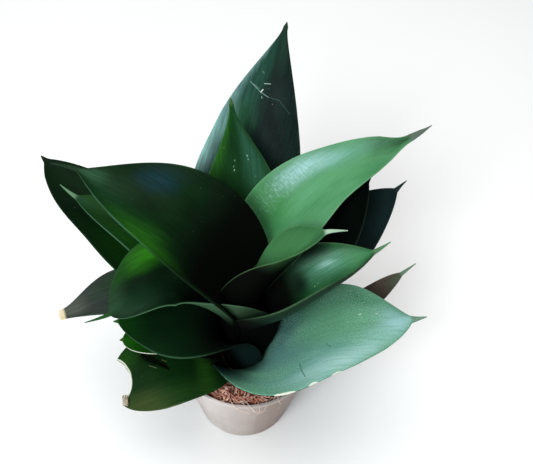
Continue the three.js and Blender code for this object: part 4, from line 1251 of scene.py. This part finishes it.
kinds = put(scatter, "GeometryNodeGeometryToInstance").inputs[0]
for longer, wider, curl in ((1.0, 1.0, 1.0), (0.55, 1.7, -0.6), (1.6, 0.55, 1.7)):
    half = times(scatter, given["Length"], longer / 2)
    bend = times(scatter, times(scatter, given["Curl"], given["Length"]), curl)
    start = put(scatter, "ShaderNodeCombineXYZ", {0: times(scatter, half, -1.0)}).outputs[0]
    middle = put(scatter, "ShaderNodeCombineXYZ", {1: bend, 2: calc(scatter, "ABSOLUTE", bend)}).outputs[0]
    end = put(scatter, "ShaderNodeCombineXYZ", {0: half}).outputs[0]
    spine = {"Resolution": 4, "Start": start, "Middle": middle, "End": end}
    strip = {0: times(scatter, given["Width"], wider), 1: given["Thickness"]}
    sweep = {
        0: put(scatter, "GeometryNodeCurveQuadraticBezier", spine).outputs[0],
        1: put(scatter, "GeometryNodeCurvePrimitiveQuadrilateral", strip).outputs[0],
        "Fill Caps": True,
    }
    scatter.links.new(put(scatter, "GeometryNodeCurveToMesh", sweep).outputs[0], kinds)


def chance(low, high, seed, kind="FLOAT"):
    """A random value for each shred."""
    node = put(scatter, "FunctionNodeRandomValue", data_type=kind)
    least, most, result = {"FLOAT": (2, 3, 1), "FLOAT_VECTOR": (0, 1, 0), "INT": (4, 5, 2)}[kind]
    node.inputs[least].default_value, node.inputs[most].default_value = low, high
    scatter.links.new(plus(scatter, given["Seed"], float(seed)), node.inputs["Seed"])
    return node.outputs[result]


spread = {0: given["Bed"], "Density": given["Shreds per Square Metre"], "Seed": given["Seed"]}
points = put(scatter, "GeometryNodeDistributePointsOnFaces", spread).outputs[0]
rise = times(scatter, chance(0.05, 1.0, 1), given["Heap"])
lifted = put(scatter, "ShaderNodeCombineXYZ", {2: rise}).outputs[0]
points = put(scatter, "GeometryNodeSetPosition", {0: points, "Offset": lifted}).outputs[0]
laid = put(
    scatter, "GeometryNodeInstanceOnPoints",
    {
        "Points": points, "Instance": kinds.node.outputs[0], "Pick Instance": True,
        "Instance Index": chance(0, 2, 2, "INT"),
        "Rotation": chance((-0.45, -0.3, 0.0), (0.45, 0.3, 2 * math.pi), 3, "FLOAT_VECTOR"),
        "Scale": chance((0.6, 0.7, 0.7), (1.3, 1.3, 1.3), 4, "FLOAT_VECTOR"),
    },
).outputs[0]
named = {0: laid, "Name": "tone", "Value": chance(0.0, 1.0, 5)}
toned = put(scatter, "GeometryNodeStoreNamedAttribute", named, data_type="FLOAT", domain="INSTANCE")
real = put(scatter, "GeometryNodeRealizeInstances", {0: toned.outputs[0]}).outputs[0]
real = put(scatter, "GeometryNodeSetMaterial", {0: real, "Material": given["Finish"]}).outputs[0]
scatter.links.new(real, wanted[0])
print("tree:", scatter.name, "with", len(scatter.nodes), "nodes")

# %% Coir finishes
def coir(name, tones, toned):
    """Dry husk in four tones. They come from each shred's own tone, or else from noise."""
    finish, tree, skin = material(name)
    place = own_place(tree)
    grain = noise(tree, place, 2200, 3, 0.7)
    if toned:
        share = put(tree, "ShaderNodeAttribute", attribute_name="tone").outputs["Fac"]
    else:
        share = noise(tree, place, 420, 3, 0.6)
    share = plus(tree, share, times(tree, calc(tree, "SUBTRACT", grain, 0.5), 0.35))
    colour = paint(tones[0])
    for tone, low, high in zip(tones[1:], (0.02, 0.3, 0.62), (0.35, 0.62, 0.92)):
        colour = blend(tree, ramp(tree, share, low, high), colour, paint(tone))
    coloured(tree, skin, colour, ramp(tree, grain, 0.2, 0.8, 0.75, 0.95), 0.2)
    bumped(tree, skin, grain, 0.5, 0.0003)
    return finish


husk = coir("dry coir husk", ("#55231a", "#b4664f", "#e0a088", "#f6d2c0"), True)
dust = coir("coir dust", ("#1d0a06", "#3c1a11", "#5a2c1f", "#8a5342"), False)
finish_piece(soil, dust, 70)
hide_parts("soil")
print("finishes:", husk.name, "and", dust.name)

# %% Run the tree and make its result plain
sprinkle = litter.modifiers.new("coir litter", "NODES")
sprinkle.node_group = scatter
for label, (identifier, value) in identifiers.items():
    if label == "Finish":
        sprinkle[identifier] = husk
    elif value is not None:
        sprinkle[identifier] = value
swap_mesh(litter, evaluated_mesh(litter))
points = np.array([v.co for v in litter.data.vertices]) / MM
distance = np.hypot(points[:, 0], points[:, 1])
most = inside_wall(np.minimum(points[:, 2], POT_HEIGHT)) - 0.25
held = np.clip(distance, CROWN_RADIUS + 1.5, most) / distance
points[:, :2] *= held[:, None]
litter.data.vertices.foreach_set("co", (points * MM).astype(np.float32).ravel())
finish_piece(litter, husk, 60)
print("shreds:", len(litter.data.polygons), "faces, highest", round(points[:, 2].max(), 1))

# %% [markdown]
# ## Stray fibres over the rim
# A few long, straw-coloured fibres have crept over the lip at the front. Each is a thin tube along the
# same smooth curve as the midribs use. Bristles by a modifier would need combing; six listed routes do
# it directly.

# %% Fibres along listed routes
STRAYS = (
    (0.22, (-7, -38, 70.5), (-5, -43.2, 73), (-1, -46.3, 71.5), (3, -46.0, 68.5), (6, -46.2, 67)),
    (0.2, (2, -39, 70), (5, -43.5, 73.2), (9, -46.6, 71), (12, -45.4, 67.5), (14, -44.0, 65)),
    (0.16, (9, -38, 70), (11, -42.8, 73), (11.5, -46.0, 70.5), (10, -45.9, 66)),
    (0.18, (-1, -39, 70.6), (2, -43.4, 72.9), (7, -45.9, 70), (13.5, -44.2, 67.5), (16, -43.0, 66.5)),
    (0.14, (15, -36, 70), (15.5, -40.5, 73), (15, -44.0, 71.5), (14, -44.3, 69.5)),
    (0.2, (20, -33, 70), (22, -37.5, 72.8), (23.5, -40.2, 71.5), (25, -38.9, 69)),
)


def band(first, rows, around):
    """Faces between rings of points, which are numbered from first on."""
    faces = []
    for row in range(rows - 1):
        a, b = first + row * around, first + (row + 1) * around
        for k in range(around):
            n = (k + 1) % around
            faces.append((a + k, a + n, b + n, b + k))
    return faces


def facing_out(mesh):
    """Turns every face of a closed mesh outwards."""
    shape = bmesh.new()
    shape.from_mesh(mesh)
    bmesh.ops.recalc_face_normals(shape, faces=shape.faces)
    shape.to_mesh(mesh)
    shape.free()
    return mesh


def tube_mesh(name, routes, sides=6, rows=22):
    """Thin closed tubes, each along (radius, points...), that taper towards both ends."""
    points, faces = [], []
    for radius, *route in routes:
        centre, along, _ = along_curve(spline(route), np.linspace(0, 1, rows))
        across = unit(np.cross(along, (0.3, 0.2, 1)))
        up = np.cross(across, along)
        slim = radius * (0.35 + 0.65 * np.sin(np.pi * np.linspace(0.04, 0.96, rows)) ** 0.5)
        first = len(points)
        for row in range(rows):
            for k in range(sides):
                turn = 2 * math.pi * k / sides
                outwards = across[row] * math.cos(turn) + up[row] * math.sin(turn)
                points.append(centre[row] + slim[row] * outwards)
        faces += band(first, rows, sides)
        faces.append(tuple(first + k for k in reversed(range(sides))))
        faces.append(tuple(first + (rows - 1) * sides + k for k in range(sides)))
    return facing_out(mesh_of(name, points, faces))


strays = new_piece("stray_fibres", tube_mesh("stray_fibres", STRAYS))
straw = coir("straw fibre", ("#d3b8a4", "#e0c9b8", "#ecdacc", "#f6e8de"), False)
finish_piece(strays, straw, 60)
print("fibres:", len(STRAYS), "with", len(strays.data.polygons), "faces")

# %% [markdown]
# ## The crown
# The short stem under the leaves hides in the coir. Its measured solid has the right shape, so it stays
# and only gets a finish: pale, fibrous tissue with brown rings where old leaves sat.

# %% Crown tissue
tissue, tree, skin = material("crown tissue")
rings = noise(tree, stretched(tree, own_place(tree), (0.15, 0.15, 1)), 900, 3, 0.6)
colour = blend(tree, ramp(tree, rings, 0.35, 0.65), paint("#5c4630"), paint("#b7a982"))
coloured(tree, skin, colour, ramp(tree, rings, 0.2, 0.8, 0.6, 0.85))
bumped(tree, skin, rings, 0.4, 0.0005)
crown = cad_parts["crown"]
crown.data.materials.clear()
crown.data.materials.append(tissue)
print("the crown keeps its measured shape")

# %% [markdown]
# ## The dried curl on the torn leaf
# The front left leaf was torn long ago. Its edge has dried, and the lowest bit of it has rolled up like
# a wood shaving. A sheet with a Simple Deform modifier could be rolled too, but a spiral drawn once as a
# closed outline and moved along a short line gives the same roll with its true thickness.

# %% A rolled strip
CURL_FROM, CURL_TO = Vector((-68.6, -43.2, 74.8)), Vector((-67.2, -49.0, 73.6))
CURL_RADIUS, CURL_SHEET, CURL_TURNS, CURL_TIGHTER = 1.9, 0.6, 1.15, 0.42


def rolled_mesh(name, radius, sheet, turns, steps=28, rows=12):
    """A thin sheet rolled round the line from CURL_FROM to CURL_TO, closed all round."""
    along = (CURL_TO - CURL_FROM).normalized()
    across = along.cross(Vector((0, 0, 1))).normalized()
    up = across.cross(along)
    points = []
    for row in range(rows + 1):
        share = row / rows
        middle = CURL_FROM.lerp(CURL_TO, share)
        size = 0.75 + 0.25 * math.sin(math.pi * (0.15 + 0.7 * share)) + 0.04 * math.sin(9 * share)
        outline = []
        for step in range(steps + 1):
            turn = 2 * math.pi * turns * step / steps - 0.6 + 0.5 * share
            outline.append((turn, radius * size * (1 - CURL_TIGHTER * step / steps)))
        ring = outline + [(t, r - sheet) for t, r in reversed(outline)]
        points += [middle + (across * math.cos(t) + up * math.sin(t)) * r for t, r in ring]
    count = 2 * (steps + 1)
    faces = band(0, rows + 1, count)
    for first, order in ((0, -1), (rows * count, 1)):
        for k in range(steps):
            far = count - 1 - k
            faces.append(tuple(first + v for v in (k, k + 1, far - 1, far)[::order]))
    return facing_out(mesh_of(name, points, faces))


dry, tree, skin = material("dried leaf edge")
place = own_place(tree)
fibres = noise(tree, stretched(tree, place, (1, 0.3, 1)), 1400, 3, 0.6)
colour = blend(tree, ramp(tree, fibres, 0.35, 0.65), paint("#6f624c"), paint("#cdc3ac"))
x = put(tree, "ShaderNodeSeparateXYZ", {0: place}).outputs["X"]
# Painted shade: the hollow left side of the roll goes near black.
hollow_shade = ramp(tree, plus(tree, x, times(tree, fibres, 0.0012)), -0.0698, -0.0682)
colour = blend(tree, hollow_shade, paint("#1d2012"), colour)
coloured(tree, skin, colour, ramp(tree, fibres, 0.3, 0.7, 0.7, 0.9))
bumped(tree, skin, fibres, 0.5, 0.0004)
curl = new_piece("torn_curl", rolled_mesh("torn_curl", CURL_RADIUS, CURL_SHEET, CURL_TURNS))
finish_piece(curl, dry, 40)
print("curl:", len(curl.data.polygons), "faces,", round(volume(curl.data), 1), "cubic millimetres")
